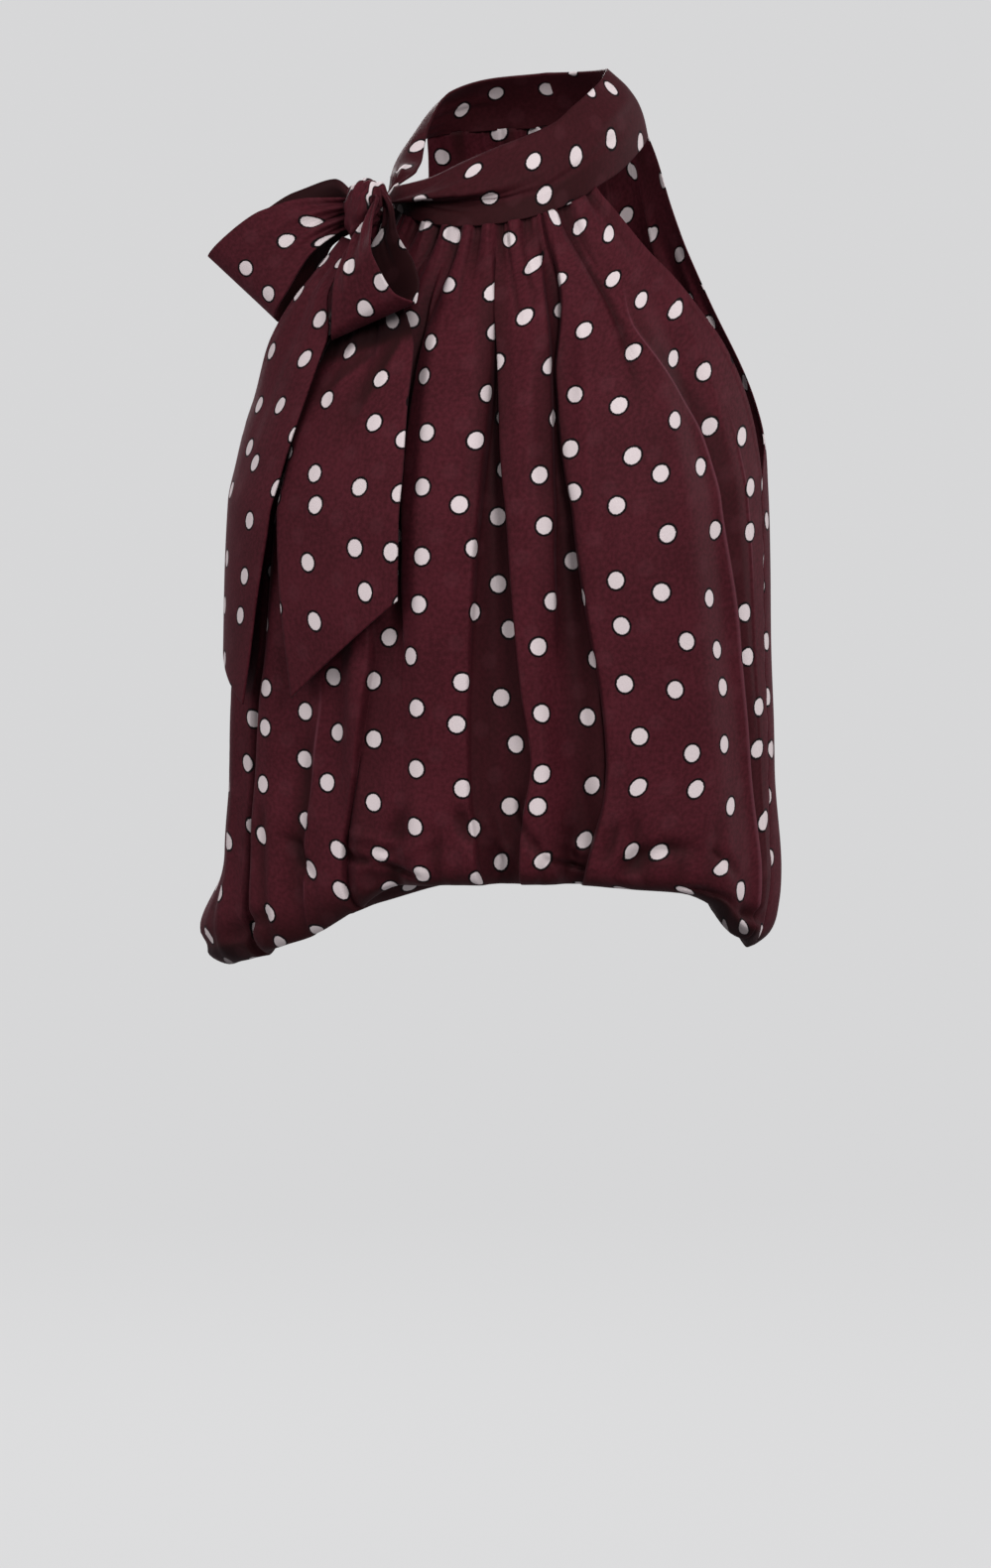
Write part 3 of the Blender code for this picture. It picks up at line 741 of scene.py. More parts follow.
def panel_base(rows, across, down):
    """A panel before its folds: its points, and the level direction out of the cloth."""
    half_arc = np.radians(read_table(rows, down, 1))
    edge = [read_table(rows, down, column) / 1000 for column in (2, 3, 4)]
    middle = [read_table(rows, down, column) / 1000 for column in (5, 6)]
    turn = half_arc * across
    share = (np.cos(turn) - np.cos(half_arc)) / (1 - np.cos(half_arc))
    x = edge[0] * np.sin(turn) / np.sin(half_arc)
    y = edge[1] + (middle[0] - edge[1]) * share
    z = edge[2] + (middle[1] - edge[2]) * np.clip(share, 0, None) ** EDGE_FALL
    out_x = np.sin(turn) / edge[0]
    out_y = np.cos(turn) / (middle[0] - edge[1])
    length = np.hypot(out_x, out_y)
    return x, y, z, out_x / length, out_y / length


def fine_gathers(gathers, across, down):
    """Small uneven gathers close under the band, each with its own length and depth."""
    total = np.zeros_like(across)
    for centre, width, reach, depth in gathers:
        middle = centre * (1 - 0.35 * down / 0.3)
        total += depth / 1000 * bump((across - middle) / width) * (1 - ease(down / reach))
    return total


def side_edges(from_side, down):
    """The side seam with its puckers, and above it the narrow turned hem of the armhole."""
    joined = ease((down - SIDE_SEAM_FROM) / 0.03)
    pucker = 1 + 0.5 * np.sin(150 * down) + 0.3 * np.sin(67 * down)
    seam = SEAM_PINCH * joined * pucker * bump(from_side / SEAM_REACH)
    turned = HEM_STANDS * (1 - ease((from_side - NARROW_HEM) / STITCH_GROOVE))
    groove = GROOVE_DEPTH * bump((from_side - NARROW_HEM) / STITCH_GROOVE)
    return (1 - joined) * (turned - groove) - seam


def panel_painted_shade(across, down, gather, creases, seam_fade):
    """Painted shade in the gathers and creases and in the roll at the waist, and a nearly black
    painted shadow on the layer under the corners.
    """
    tuck = np.clip(-gather / GATHER_HEIGHT, 0, 1) * (1 - ease(down / GATHER_DARK_END))
    dark = GATHER_PAINTED_SHADE * tuck * seam_fade
    dark = np.maximum(dark, CREASE_PAINTED_SHADE * np.clip(-creases / CREASE_FULL, 0, CREASE_MOST))
    dark = np.maximum(dark, UNDER_ROLL_PAINTED_SHADE * ease((down - UNDER_FROM) / 0.03))
    corner = ease((np.abs(across) - CORNER_FROM) / 0.22)
    return np.maximum(dark, CORNER_PAINTED_SHADOW * corner * ease((down - LAYER_FROM) / 0.008))


def rolled_over(hem, across, along, move, z):
    """The roll at the waist: the cloth stands out, falls to its lowest line and turns in."""
    turning = along > 0
    along = np.clip(along, 0, 1)
    lowest = read_table(hem, across, 1) / 1000
    stands_out = read_table(hem, across, 2) / 1000
    rolled = move - read_table(TURN, along, 1) * HEM_TUCK
    rolled += stands_out * bump((along - 0.5) / BLOUSE_REACH) * ease(along / 0.4)
    rolled *= 1 - TUCK_SMOOTHING * ease(2 * along - 1)
    fallen = z + (lowest - z) * read_table(TURN, along, 2)
    return np.where(turning, rolled, move), np.where(turning, fallen, z)


def panel_surface(rows, hem, folds, gather_waves, gathers, edges, strokes, across, down, share=1):
    """All points of a panel and its painted shade and highlight there. The share scales only the
    gathers.
    """
    x, y, z, out_x, out_y = panel_base(rows, across, np.minimum(down, SHOWN_DOWN))
    seam_fade = ease((1 - np.abs(across)) / SIDE_FADE)
    wave = np.cos(math.pi * gather_waves * (across + GATHER_DRIFT * np.sin(5 * across)))
    gather = GATHER_HEIGHT * wave * (1 - ease(down / GATHERS_END))
    gather += fine_gathers(gathers, across, down)
    creases = stroke_height(strokes, across, down, PANEL_HALF_WIDTH, PANEL_LENGTH) * seam_fade
    half_arc = np.radians(read_table(rows, down, 1))
    edge_x = read_table(rows, down, 2) / 1000
    depth = np.abs(read_table(rows, down, 5) - read_table(rows, down, 3)) / 1000
    unit_width = half_arc * (edge_x / np.sin(half_arc) + depth / (1 - np.cos(half_arc))) / 2
    height, slide, dark, light = edge_move(edges, across, down, unit_width)
    dark = np.maximum(dark, panel_painted_shade(across, down, gather, creases, seam_fade))
    swell = BLOUSE_SWELL * bump((down - SHOWN_DOWN) / SWELL_REACH)
    move = (fold_height(folds, across, down) + share * gather + swell + height) * seam_fade
    move += creases + side_edges((1 - np.abs(across)) * unit_width, down)
    along = (down - SHOWN_DOWN) / (1 - SHOWN_DOWN)
    move, z = rolled_over(hem, across, along, move, z)
    slide = -np.sign(rows[-1][5]) * slide * seam_fade
    x = x + out_x * move - out_y * slide
    y = y + out_y * move + out_x * slide
    tucked = SEAM_ALLOWANCE * (1 - ease(down / ALLOWANCE_END))
    return np.stack([x, y, z + tucked], axis=-1), dark - light


def panel_rows(count, turn_count):
    """Places down a panel: closer together under the band, and again in the roll at the waist."""
    steps = np.arange(count - turn_count) / (count - turn_count)
    shown = SHOWN_DOWN * (0.72 * steps + 0.28 * steps ** 2)
    turn = SHOWN_DOWN + (1 - SHOWN_DOWN) * np.linspace(0, 1, turn_count)
    return np.concatenate([shown, turn])


def sewn_panel(name, tables, down, stretch, anchor_row, shift):
    """Builds a panel from its tables. The print is laid out from the row at anchor_row, and
    the shift slides it on the cloth."""
    across = column_places(tables[5], down, stretch)
    down_grid = np.repeat(down[:, None], across.shape[1], axis=1)
    points, dark = panel_surface(*tables, across, down_grid)
    calm_points = panel_surface(*tables, across, down_grid, share=CALM)[0]
    middle_column = int(np.argmin(np.abs(across[anchor_row])))
    u, v = cloth_lengths(calm_points, anchor_row, middle_column)
    return cloth_piece(name, points, (u + shift[0], v + shift[1]), dark=dark)


# %% [markdown]
# ## The front panel
# The front carries what the eye goes to: long pleats that fall from the gathers, two of them
# deep, with painted shade on their floors that makes them dark. Its smaller gathers sit close
# under the band and differ in length, because a gathering thread never draws cloth up evenly.
# Near the waist short strokes press the cloth in where it rolls under, and get painted shade.

# %% Details of the front panel
# place at the band, half-width, reach down, height in millimetres
FRONT_GATHERS = [
    (-0.90, 0.035, 0.10, 0.9), (-0.80, 0.030, 0.16, -1.0), (-0.69, 0.028, 0.12, 0.9),
    (-0.60, 0.026, 0.18, -1.1), (-0.50, 0.030, 0.10, 1.0), (-0.43, 0.026, 0.15, -0.9),
    (-0.33, 0.028, 0.12, 1.0), (-0.24, 0.026, 0.20, -1.2), (-0.15, 0.024, 0.14, 1.1),
    (-0.06, 0.026, 0.17, -1.2), (0.03, 0.026, 0.22, 1.2), (0.10, 0.022, 0.13, -1.1),
    (0.17, 0.022, 0.16, 1.0), (0.27, 0.024, 0.12, -0.9), (0.33, 0.024, 0.24, 1.2),
    (0.42, 0.026, 0.17, -1.3), (0.49, 0.024, 0.13, 1.0), (0.57, 0.022, 0.16, -1.0),
    (0.66, 0.026, 0.22, 1.3), (0.74, 0.026, 0.13, -1.0), (0.82, 0.026, 0.18, 1.1),
    (0.93, 0.030, 0.10, -0.8),
]
FRONT_STROKES = [
    (0.02, 0.88, 0.03, 1.02, 3, 5, -2.6), (0.15, 0.90, 0.13, 1.02, 2, 5, -3.0),
    (0.31, 0.87, 0.27, 1.02, -3, 5, -2.6), (0.47, 0.84, 0.52, 1.00, 4, 6, -2.8),
    (0.62, 0.89, 0.55, 1.00, 3, 6, -2.2), (0.40, 0.956, 0.62, 0.900, -4, 8, -4.4),
    (0.72, 0.84, 0.66, 1.00, 2, 8, -2.2), (-0.06, 0.84, -0.10, 1.02, 2, 8, -3.0),
    (-0.36, 0.74, -0.40, 1.00, -3, 10, -2.2), (-0.50, 0.84, -0.47, 1.00, 2, 8, -2.4),
    (-0.74, 0.80, -0.76, 1.00, 2, 10, -2.0), (-0.16, 0.95, 0.04, 0.90, 3, 6, 2.2),
    (0.08, 0.90, 0.10, 1.00, 0, 8, 2.2), (0.22, 0.88, 0.20, 1.00, 2, 8, 2.4),
    (0.36, 0.90, 0.36, 1.00, 0, 9, 2.4), (-0.02, 0.92, -0.03, 1.00, 0, 7, 2.0),
    (0.62, 0.28, 0.56, 0.60, 5, 12, -1.0), (0.02, 0.20, 0.00, 0.62, -4, 11, 1.0),
    (-0.84, 0.42, -0.86, 0.90, 4, 12, -1.2),
    (-0.335, 0.66, -0.40, 0.99, -1, 7, -1.6), (0.30, 0.62, 0.42, 0.90, 4, 9, 1.4),
    (0.56, 0.962, 0.80, 0.953, 0, 3.0, -3.4), (0.78, 0.954, 1.03, 0.950, 0, 3.5, -4.0),
    (-1.03, 0.962, -0.72, 0.958, 0, 3.0, -2.8), (-0.74, 0.958, -0.44, 0.952, 0, 3.0, -3.2),
    (-0.25, 0.928, -0.14, 0.940, 0, 3.0, -3.6), (-0.16, 0.938, -0.01, 0.960, 0, 3.0, -3.6),
    (-0.20, 0.950, -0.07, 0.962, 0, 7.0, -3.0), (-0.24, 0.902, -0.03, 0.930, 0, 6.0, 2.6),
    (0.19, 0.82, 0.255, 0.95, 3, 4.0, -3.4), (0.42, 0.86, 0.37, 0.95, -3, 4.0, -3.0),
    (0.06, 0.85, 0.10, 0.94, 2, 4.5, -3.2), (0.28, 0.90, 0.36, 0.935, 1, 5.0, 2.4),
    (0.11, 0.86, 0.17, 0.945, 2, 4.5, 2.8), (0.24, 0.935, 0.38, 0.950, 0, 3.0, -3.0),
    (-0.44, 0.90, -0.30, 0.945, 2, 4.0, -2.6), (0.66, 0.90, 0.80, 0.935, 2, 5.0, -2.2),
    (0.25, 0.92, 0.20, 1.00, -4, 4, -2.6), (0.56, 0.42, 0.50, 0.80, -4, 14, 1.4),
    (0.70, -0.06, 0.55, 0.34, -3, 6, -3.2), (-0.01, -0.05, -0.11, 0.26, 2, 4.5, -2.2),
    (0.07, -0.05, 0.03, 0.17, 1, 3.5, -1.8), (0.31, -0.05, 0.26, 0.20, -1, 3.5, -1.8),
    (0.42, -0.05, 0.33, 0.17, -1, 3.5, -1.6), (0.58, -0.05, 0.47, 0.15, -1, 4, -2.0),
    (0.80, -0.05, 0.68, 0.13, -1, 4, -1.6), (-0.22, -0.05, -0.28, 0.20, 1, 4, -1.8),
]
FRONT_ROW_COUNT = 178
FRONT_TURN_COUNT = 38
FRONT_STRETCH = 24

# %% Build the front panel
FRONT_WAVES = 10
FRONT_ANCHOR = 80
FRONT_SHIFT = (0.412, 0.906)
front_tables = (
    FRONT_ROWS, FRONT_HEM, FRONT_FOLDS, FRONT_WAVES, FRONT_GATHERS, FRONT_EDGES, FRONT_STROKES
)
front_down = panel_rows(FRONT_ROW_COUNT, FRONT_TURN_COUNT)
front = sewn_panel("front", front_tables, front_down, FRONT_STRETCH, FRONT_ANCHOR, FRONT_SHIFT)

# %% [markdown]
# ## The back panel
# Nothing shows the back, so it gets what such a blouse has: the same cloth gathered into the
# band at the nape, five quiet pleats, and armholes that are cut in towards the neck.

# %% Build the back panel
BACK_GATHERS = [
    (-0.86, 0.035, 0.14, -0.9), (-0.70, 0.030, 0.12, 0.9), (-0.56, 0.030, 0.20, -1.1),
    (-0.42, 0.028, 0.13, 1.0), (-0.28, 0.030, 0.17, -1.1), (-0.12, 0.028, 0.14, 1.0),
    (0.06, 0.030, 0.21, -1.2), (0.20, 0.026, 0.12, 1.0), (0.33, 0.028, 0.18, -1.1),
    (0.48, 0.028, 0.13, 1.0), (0.63, 0.030, 0.20, -1.1), (0.78, 0.030, 0.12, 0.9),
    (0.91, 0.030, 0.14, -0.8),
]
BACK_STROKES = [
    (0.10, 0.78, 0.12, 1.00, 3, 9, -1.8), (-0.10, 0.84, -0.12, 1.00, -2, 8, -1.6),
    (0.42, 0.80, 0.44, 1.00, 3, 9, -1.8), (-0.40, 0.78, -0.42, 1.00, 3, 10, -1.8),
    (-0.68, 0.74, -0.70, 1.00, -3, 10, -1.6), (0.70, 0.76, 0.72, 1.00, 2, 9, -1.6),
    (0.16, 0.30, 0.14, 0.70, 5, 12, 1.0), (-0.44, 0.30, -0.42, 0.66, -5, 12, -1.2),
    (0.84, 0.40, 0.86, 0.90, 4, 12, -1.2),
]
BACK_ROW_COUNT = 130
BACK_TURN_COUNT = 28
BACK_STRETCH = 28
BACK_WAVES = 7
BACK_ANCHOR = 58
BACK_SHIFT = (0.955, 0.640)
back_tables = (
    BACK_ROWS, BACK_HEM, BACK_FOLDS, BACK_WAVES, BACK_GATHERS, BACK_EDGES, BACK_STROKES
)
back_down = panel_rows(BACK_ROW_COUNT, BACK_TURN_COUNT)
back = sewn_panel("back", back_tables, back_down, BACK_STRETCH, BACK_ANCHOR, BACK_SHIFT)

# %% [markdown]
# ## The neck band
# The band stands round the neck. At the back and the wearer's left it is a smooth high collar.
# In front it sinks towards the knot and folds over itself, so that a rounded crest hangs over a
# narrow stand. Its lower edge is not drawn twice: it is read from the panels' own top edges.

# %% The band's tables and its lower edge
# turn from the front in degrees, radius and z, over the bare sides of the neck
BAND_SIDES = [
    (-110, 75, 15),
    (-95, 71, 3),
    (-75, 70, -11),
    (75, 72, -9),
    (95, 75, 6),
    (110, 77, 15),
]
# turn from the front in degrees, then radius and z of the stand, hollow, crest and top
BAND_ROWS = [
    (-180, 78, 35, 74, 42, 68, 49, 58, 57),
    (-150, 77, 33, 73, 40, 66, 47, 56, 54),
    (-120, 72, 25, 69, 32, 64, 39, 55, 45),
    (-95, 69, 10, 66, 15, 61, 20, 53, 24),
    (-75, 69, -4, 66, -1, 60, 2, 52, 4),
    (-58, 70, -12, 69, -9, 65, -7, 56, -5),
    (-41, 71, -23, 70, -21, 83, -26, 76, -16),
    (-26, 72, -28, 68, -24, 80, -25, 69, -13),
    (-8, 72, -31, 68, -25, 77, -24, 61, -4),
    (10, 73, -32, 69, -25, 74, -20, 57, 4),
    (28, 72, -28, 71, -21, 71, -13, 55, 11),
    (46, 71, -18, 70, -10, 68, -1, 54, 19),
    (60, 71, -8, 70, 1, 66, 11, 53, 29),
    (85, 73, 9, 70, 19, 66, 29, 53, 43),
    (112, 75, 26, 72, 34, 66, 43, 54, 54),
    (150, 78, 34, 74, 41, 68, 48, 57, 56),
    (180, 78, 35, 74, 42, 68, 49, 58, 57),
]
BARE_FROM = 60
BARE_TO = 125


def seam_line(rows):
    """Radius and height of a panel's top edge by its turn from the panel's middle."""
    across = np.linspace(0, 1, 120)
    x, y, z = panel_base(rows, across, np.zeros_like(across))[:3]
    return np.degrees(np.arctan2(x, np.abs(y))), np.hypot(x, y) * 1000, z * 1000


band_lower = []
for panel_table, first, last in ((FRONT_ROWS, 0, BARE_FROM), (BACK_ROWS, BARE_TO, 180)):
    turns, radii, heights = seam_line(panel_table)
    for degrees in range(first, last + 1, 5):
        from_middle = degrees if panel_table is FRONT_ROWS else 180 - degrees
        radius = float(np.interp(from_middle, turns, radii))
        height = float(np.interp(from_middle, turns, heights))
        band_lower += [(side * degrees, radius, height) for side in ((-1, 1) if degrees else (1,))]
band_lower = sorted(band_lower + BAND_SIDES)
print("the band's lower edge has", len(band_lower), "measured places")

# %% Build the neck band
BAND_STROKES = [
    (0.395, 0.72, 0.57, 0.86, 2, 4, 1.3), (0.395, 0.62, 0.50, 0.74, 1, 3, -1.1),
    (0.395, 0.80, 0.47, 0.96, 1, 3, -0.9), (0.400, 0.55, 0.60, 0.60, -2, 4, 0.9),
    (0.400, 0.30, 0.52, 0.20, 1, 3, -0.8), (0.370, 0.80, 0.30, 0.72, 1, 4, 1.2),
    (0.370, 0.62, 0.29, 0.52, -1, 4, -1.0), (0.375, 0.40, 0.31, 0.34, 1, 3, 0.9),
    (0.560, 0.42, 0.74, 0.46, 3, 6, -0.8), (0.640, 0.74, 0.80, 0.66, 2, 6, 0.7),
    (0.820, 0.36, 0.96, 0.42, 2, 7, -0.9), (0.060, 0.60, 0.20, 0.52, 2, 7, -0.8),
    (0.130, 0.24, 0.26, 0.30, -2, 6, 0.7),
]
BAND_CREPE = 0.0012
BAND_AROUND = 300
BAND_UP = 46
BAND_MIDDLE = 20


def band_surface(degrees, up):
    """The band's points, with a row for each place up it."""
    radius_lines = [read_table(band_lower, degrees, 1)]
    height_lines = [read_table(band_lower, degrees, 2) + BAND_GAP * 1000]
    for line in range(4):
        radius_lines.append(read_table(BAND_ROWS, degrees, 1 + 2 * line))
        height_lines.append(read_table(BAND_ROWS, degrees, 2 + 2 * line))
    knots = np.linspace(0, 1, 5)
    radius = smooth_through(knots, np.array(radius_lines), up) / 1000
    height = smooth_through(knots, np.array(height_lines), up) / 1000
    turn = np.radians(degrees)[None, :]
    return np.stack([radius * np.sin(turn), -radius * np.cos(turn), height], axis=-1)


band_degrees = -180 + 360 * np.arange(BAND_AROUND) / BAND_AROUND
band_up = np.linspace(1, 0, BAND_UP)
band_points = band_surface(band_degrees, band_up)
band_a = np.repeat(((band_degrees + 180) / 360)[None, :], BAND_UP, axis=0)
band_b = np.repeat(band_up[:, None], BAND_AROUND, axis=1)
seam_hold = ease(band_b / 0.15)[..., None]
band_height = stroke_height(BAND_STROKES, band_a, band_b, 0.43, 0.055)[..., None]
band_points = band_points + surface_normals(band_points, closed=True) * band_height * seam_hold
band_u, band_v = cloth_lengths(band_points, BAND_UP - 1, 150)
band_u = np.repeat(band_u[BAND_MIDDLE][None, :], BAND_UP, axis=0)
# painted shade: the whole band is painted darker, and the stand under the crest darker still
band_stand_shade = ease((0.46 - band_b) / 0.12) * ease((55 - np.abs(band_a * 360 - 195)) / 25)
neck_band = cloth_piece("neck_band", band_points, (band_u + 0.009, band_v), closed=True,
                        thickness=BAND_CREPE, dark=0.55 + 0.30 * band_stand_shade)

# %% [markdown]
# ## The ties: two loops and two ends
# The band runs out into two long ties. Each is a doubled strip about 76 mm wide, so it is a
# little thicker than the panels. Knotted, it is squeezed to a third of its width, and folds fan
# out from the knot and die away towards the tips. A strip is described by its two edges at each
# step along it, and its folds by their places at the knot and at the far end.

# %% Tables of the loops, in millimetres
# along, first edge x y z, second edge x y z
OUTER_LOOP = [
    (0.00, -66, -66, -20, -66, -66, -42),
    (0.05, -71, -61, -21, -71, -61, -41),
    (0.16, -90, -49, -10, -87, -60, -48),
    (0.30, -118, -40, -16, -100, -54, -70),
    (0.42, -150, -42, -36, -113, -57, -85),
    (0.50, -169, -48, -52, -119, -63, -91),
    (0.58, -160, -57, -46, -118, -71, -89),
    (0.70, -128, -66, -28, -109, -80, -78),
    (0.84, -98, -69, -22, -94, -80, -56),
    (0.95, -75, -66, -22, -75, -66, -40),
    (1.00, -70, -70, -20, -70, -70, -42),
]
INNER_LOOP = [
    (0.00, -51, -79, -44, -51, -79, -17),
    (0.05, -45, -83, -39, -45, -83, -23),
    (0.10, -48, -90, -52, -38, -92, -30),
    (0.16, -62, -93, -60, -33, -99, -44),
    (0.30, -66, -101, -80, -18, -111, -63),
    (0.42, -68, -106, -97, -13, -117, -77),
    (0.50, -67, -111, -104, -13, -122, -85),
    (0.58, -65, -117, -99, -21, -131, -81),
    (0.70, -63, -119, -78, -33, -134, -61),
    (0.84, -61, -108, -57, -42, -114, -41),
    (0.95, -49, -89, -39, -49, -89, -23),
    (1.00, -54, -83, -40, -54, -83, -22),
]
# folds: place across at the knot, place across at the far end, half-width, height in
# millimetres, and how far along they reach
FAN_COLUMNS = ("at_knot", "far", "width", "height", "reach")
OUTER_FANS = [
    (0.14, 0.08, 0.09, 2.0, 0.75), (0.32, 0.22, 0.09, -2.8, 0.95), (0.50, 0.42, 0.10, 2.4, 0.70),
    (0.66, 0.62, 0.09, -2.6, 0.90), (0.86, 0.88, 0.09, 1.8, 0.60), (0.42, 0.60, 0.06, -1.4, 0.60),
]
INNER_FANS = [
    (0.16, 0.12, 0.10, 1.8, 0.70), (0.34, 0.28, 0.08, -2.4, 0.95), (0.52, 0.52, 0.10, 2.0, 0.80),
    (0.70, 0.74, 0.08, -2.2, 0.75), (0.88, 0.90, 0.08, 1.4, 0.55), (0.60, 0.40, 0.05, -1.2, 0.60),
]
STRIP_CREPE = 0.0010
STRIP_ALONG = 190
LOOP_ACROSS = 44
TAIL_ACROSS = 46


def fan_height(fans, across, from_knot):
    """Folds that fan out from the knot, where from_knot runs from 0 to 1 at the far end."""
    total = np.zeros_like(across)
    for row in fans:
        fan = dict(zip(FAN_COLUMNS, row))
        centre = fan["at_knot"] + (fan["far"] - fan["at_knot"]) * from_knot
        strength = ease(from_knot / 0.12) * (1 - ease(from_knot / fan["reach"]))
        total += fan["height"] / 1000 * strength * bump((across - centre) / fan["width"])
    return total


# %% Build the loops
def loop_surface(rows, fans, across_count, along_count):
    """A loop from its two edges, with its folds fanning from both ends at the knot."""
    along = np.linspace(0, 1, along_count)
    first = np.stack([read_table(rows, along, column) for column in (1, 2, 3)], axis=-1) / 1000
    second = np.stack([read_table(rows, along, column) for column in (4, 5, 6)], axis=-1) / 1000
    across = np.linspace(0, 1, across_count)[None, :, None]
    points = first[:, None, :] * (1 - across) + second[:, None, :] * across
    places = np.repeat(np.linspace(0, 1, across_count)[None, :], along_count, axis=0)
    from_knot = np.repeat((1 - np.abs(2 * along - 1))[:, None], across_count, axis=1)
    height = fan_height(fans, places, from_knot)
    return points + surface_normals(points) * height[..., None]


def inside_painted_shade(along_count, across_count):
    """Painted shade on the back layer of a loop, seen through its opening, where little light
    reaches; part of it is a nearly black painted shadow.
    """
    along = np.linspace(0, 1, along_count)
    layer = 1.25 * ease((along - 0.04) / 0.10) * ease((0.50 - along) / 0.08)
    return np.repeat(layer[:, None], across_count, axis=1)


def strip_piece(name, points, anchor, shift, dark=None):
    """The cloth of a loop or a tie end. The shift slides the print on it."""
    u, v = cloth_lengths(points, *anchor)
    lengths = (u + shift[0], v + shift[1])
    return cloth_piece(name, points, lengths, thickness=STRIP_CREPE, dark=dark)


loop_painted_shade = inside_painted_shade(STRIP_ALONG, LOOP_ACROSS)
outer_points = loop_surface(OUTER_LOOP, OUTER_FANS, LOOP_ACROSS, STRIP_ALONG)
bow_loop_outer = strip_piece("bow_loop_outer", outer_points, (95, 22), (1.314, 0.412), loop_painted_shade)
inner_points = loop_surface(INNER_LOOP, INNER_FANS, LOOP_ACROSS, STRIP_ALONG)
bow_loop_inner = strip_piece("bow_loop_inner", inner_points, (95, 22), (1.700, 0.230), loop_painted_shade)

# %% [markdown]
# The two tie ends lie on the front panel. They are made from the panel's own surface, moved out
# by a few millimetres, so they follow the body whatever the panel's tables say.

# %% Build the tie ends
# along, then the place of each edge across and down the panel and its lift in millimetres
FRONT_TAIL = [
    (0.00, -0.64, 0.057, 12, -0.45, 0.069, 11),
    (0.14, -0.53, 0.118, 9, -0.21, 0.125, 8),
    (0.28, -0.45, 0.195, 8, -0.09, 0.200, 8),
    (0.42, -0.43, 0.285, 8, -0.07, 0.280, 9),
    (0.60, -0.41, 0.410, 8, -0.055, 0.390, 10),
    (0.80, -0.385, 0.555, 8, -0.055, 0.480, 10),
    (1.00, -0.345, 0.695, 8, -0.055, 0.557, 10),
]
SIDE_TAIL = [
    (0.00, -0.80, 0.061, 19, -0.62, 0.0567, 17),
    (0.12, -0.69, 0.122, 26, -0.49, 0.122, 28),
    (0.24, -0.74, 0.200, 18, -0.405, 0.195, 18),
    (0.38, -0.77, 0.310, 6, -0.400, 0.300, 13),
    (0.56, -0.79, 0.440, 4, -0.410, 0.430, 12),
    (0.78, -0.80, 0.545, 4, -0.475, 0.580, 9),
    (1.00, -0.80, 0.640, 4, -0.535, 0.710, 8),
]
FRONT_TAIL_FANS = [
    (0.18, 0.06, 0.10, -2.0, 0.60), (0.40, 0.30, 0.10, 2.4, 0.80), (0.58, 0.52, 0.08, -3.0, 0.75),
    (0.76, 0.80, 0.10, 2.0, 0.80), (0.28, 0.18, 0.06, -1.4, 0.50), (0.97, 0.62, 0.12, 3.6, 0.50),
]
SIDE_TAIL_FANS = [
    (0.22, 0.14, 0.15, 1.0, 0.55), (0.46, 0.44, 0.14, -1.2, 0.70), (0.74, 0.76, 0.14, 1.2, 0.60),
]


def tail_surface(rows, fans, across_count, along_count):
    """A tie end, laid on the front panel's main form and folded from its root."""
    along = np.linspace(0, 1, along_count)
    across = np.linspace(0, 1, across_count)
    first = np.stack([read_table(rows, along, column) for column in (1, 2, 3)], axis=-1)
    second = np.stack([read_table(rows, along, column) for column in (4, 5, 6)], axis=-1)
    mix = first[:, None, :] + (second - first)[:, None, :] * across[None, :, None]
    places = np.repeat(across[None, :], along_count, axis=0)
    from_knot = np.repeat(along[:, None], across_count, axis=1)
    x, y, z, out_x, out_y = panel_base(FRONT_ROWS, mix[..., 0], mix[..., 1])
    lift = mix[..., 2] / 1000 + fan_height(fans, places, from_knot)
    return np.stack([x + out_x * lift, y + out_y * lift, z], axis=-1)


def tie_shade(along, across):
    """Shade on the front tie end: under the loop, and beside a tuck and a crease across it.
    Each shade starts at a slanting line, given by its place along and its slope across."""
    under_loop = 1.42 * (1 - ease((along - 0.310 + 0.095 * across) / 0.060))
    left_of_tuck = 0.91 - 1.5 * (along - 0.26) - across
    tuck = ease(left_of_tuck / 0.04) * (1 - ease(left_of_tuck / 0.34))
    tuck *= 1.05 * (1 - ease((along - 0.36) / 0.18))
    left_of_crease = 0.64 - 3.5 * (along - 0.30) - across
    crease = ease(left_of_crease / 0.06) * (1 - ease(left_of_crease / 0.40))
    crease *= 0.85 * ease((along - 0.27) / 0.04) * (1 - ease((along - 0.38) / 0.08))
    return np.maximum(under_loop, np.maximum(tuck, crease))


front_tail_points = tail_surface(FRONT_TAIL, FRONT_TAIL_FANS, TAIL_ACROSS, STRIP_ALONG)
tail_along, tail_across = np.meshgrid(
    np.linspace(0, 1, STRIP_ALONG), np.linspace(0, 1, TAIL_ACROSS), indexing="ij"
)
tie_tail_front = strip_piece("tie_tail_front", front_tail_points, (100, 23), (0.300, 0.700),
                             tie_shade(tail_along, tail_across))
side_tail_points = tail_surface(SIDE_TAIL, SIDE_TAIL_FANS, TAIL_ACROSS, STRIP_ALONG)
tie_tail_side = strip_piece("tie_tail_side", side_tail_points, (100, 23), (2.100, 0.350))

# %% [markdown]
# ## The knot
# The knot is the middle of the tie wrapped once round everything. On the real blouse it is a
# small bunched roll, so it is a tube whose ends are drawn in, with deep creases that run round
# it and cross each other.

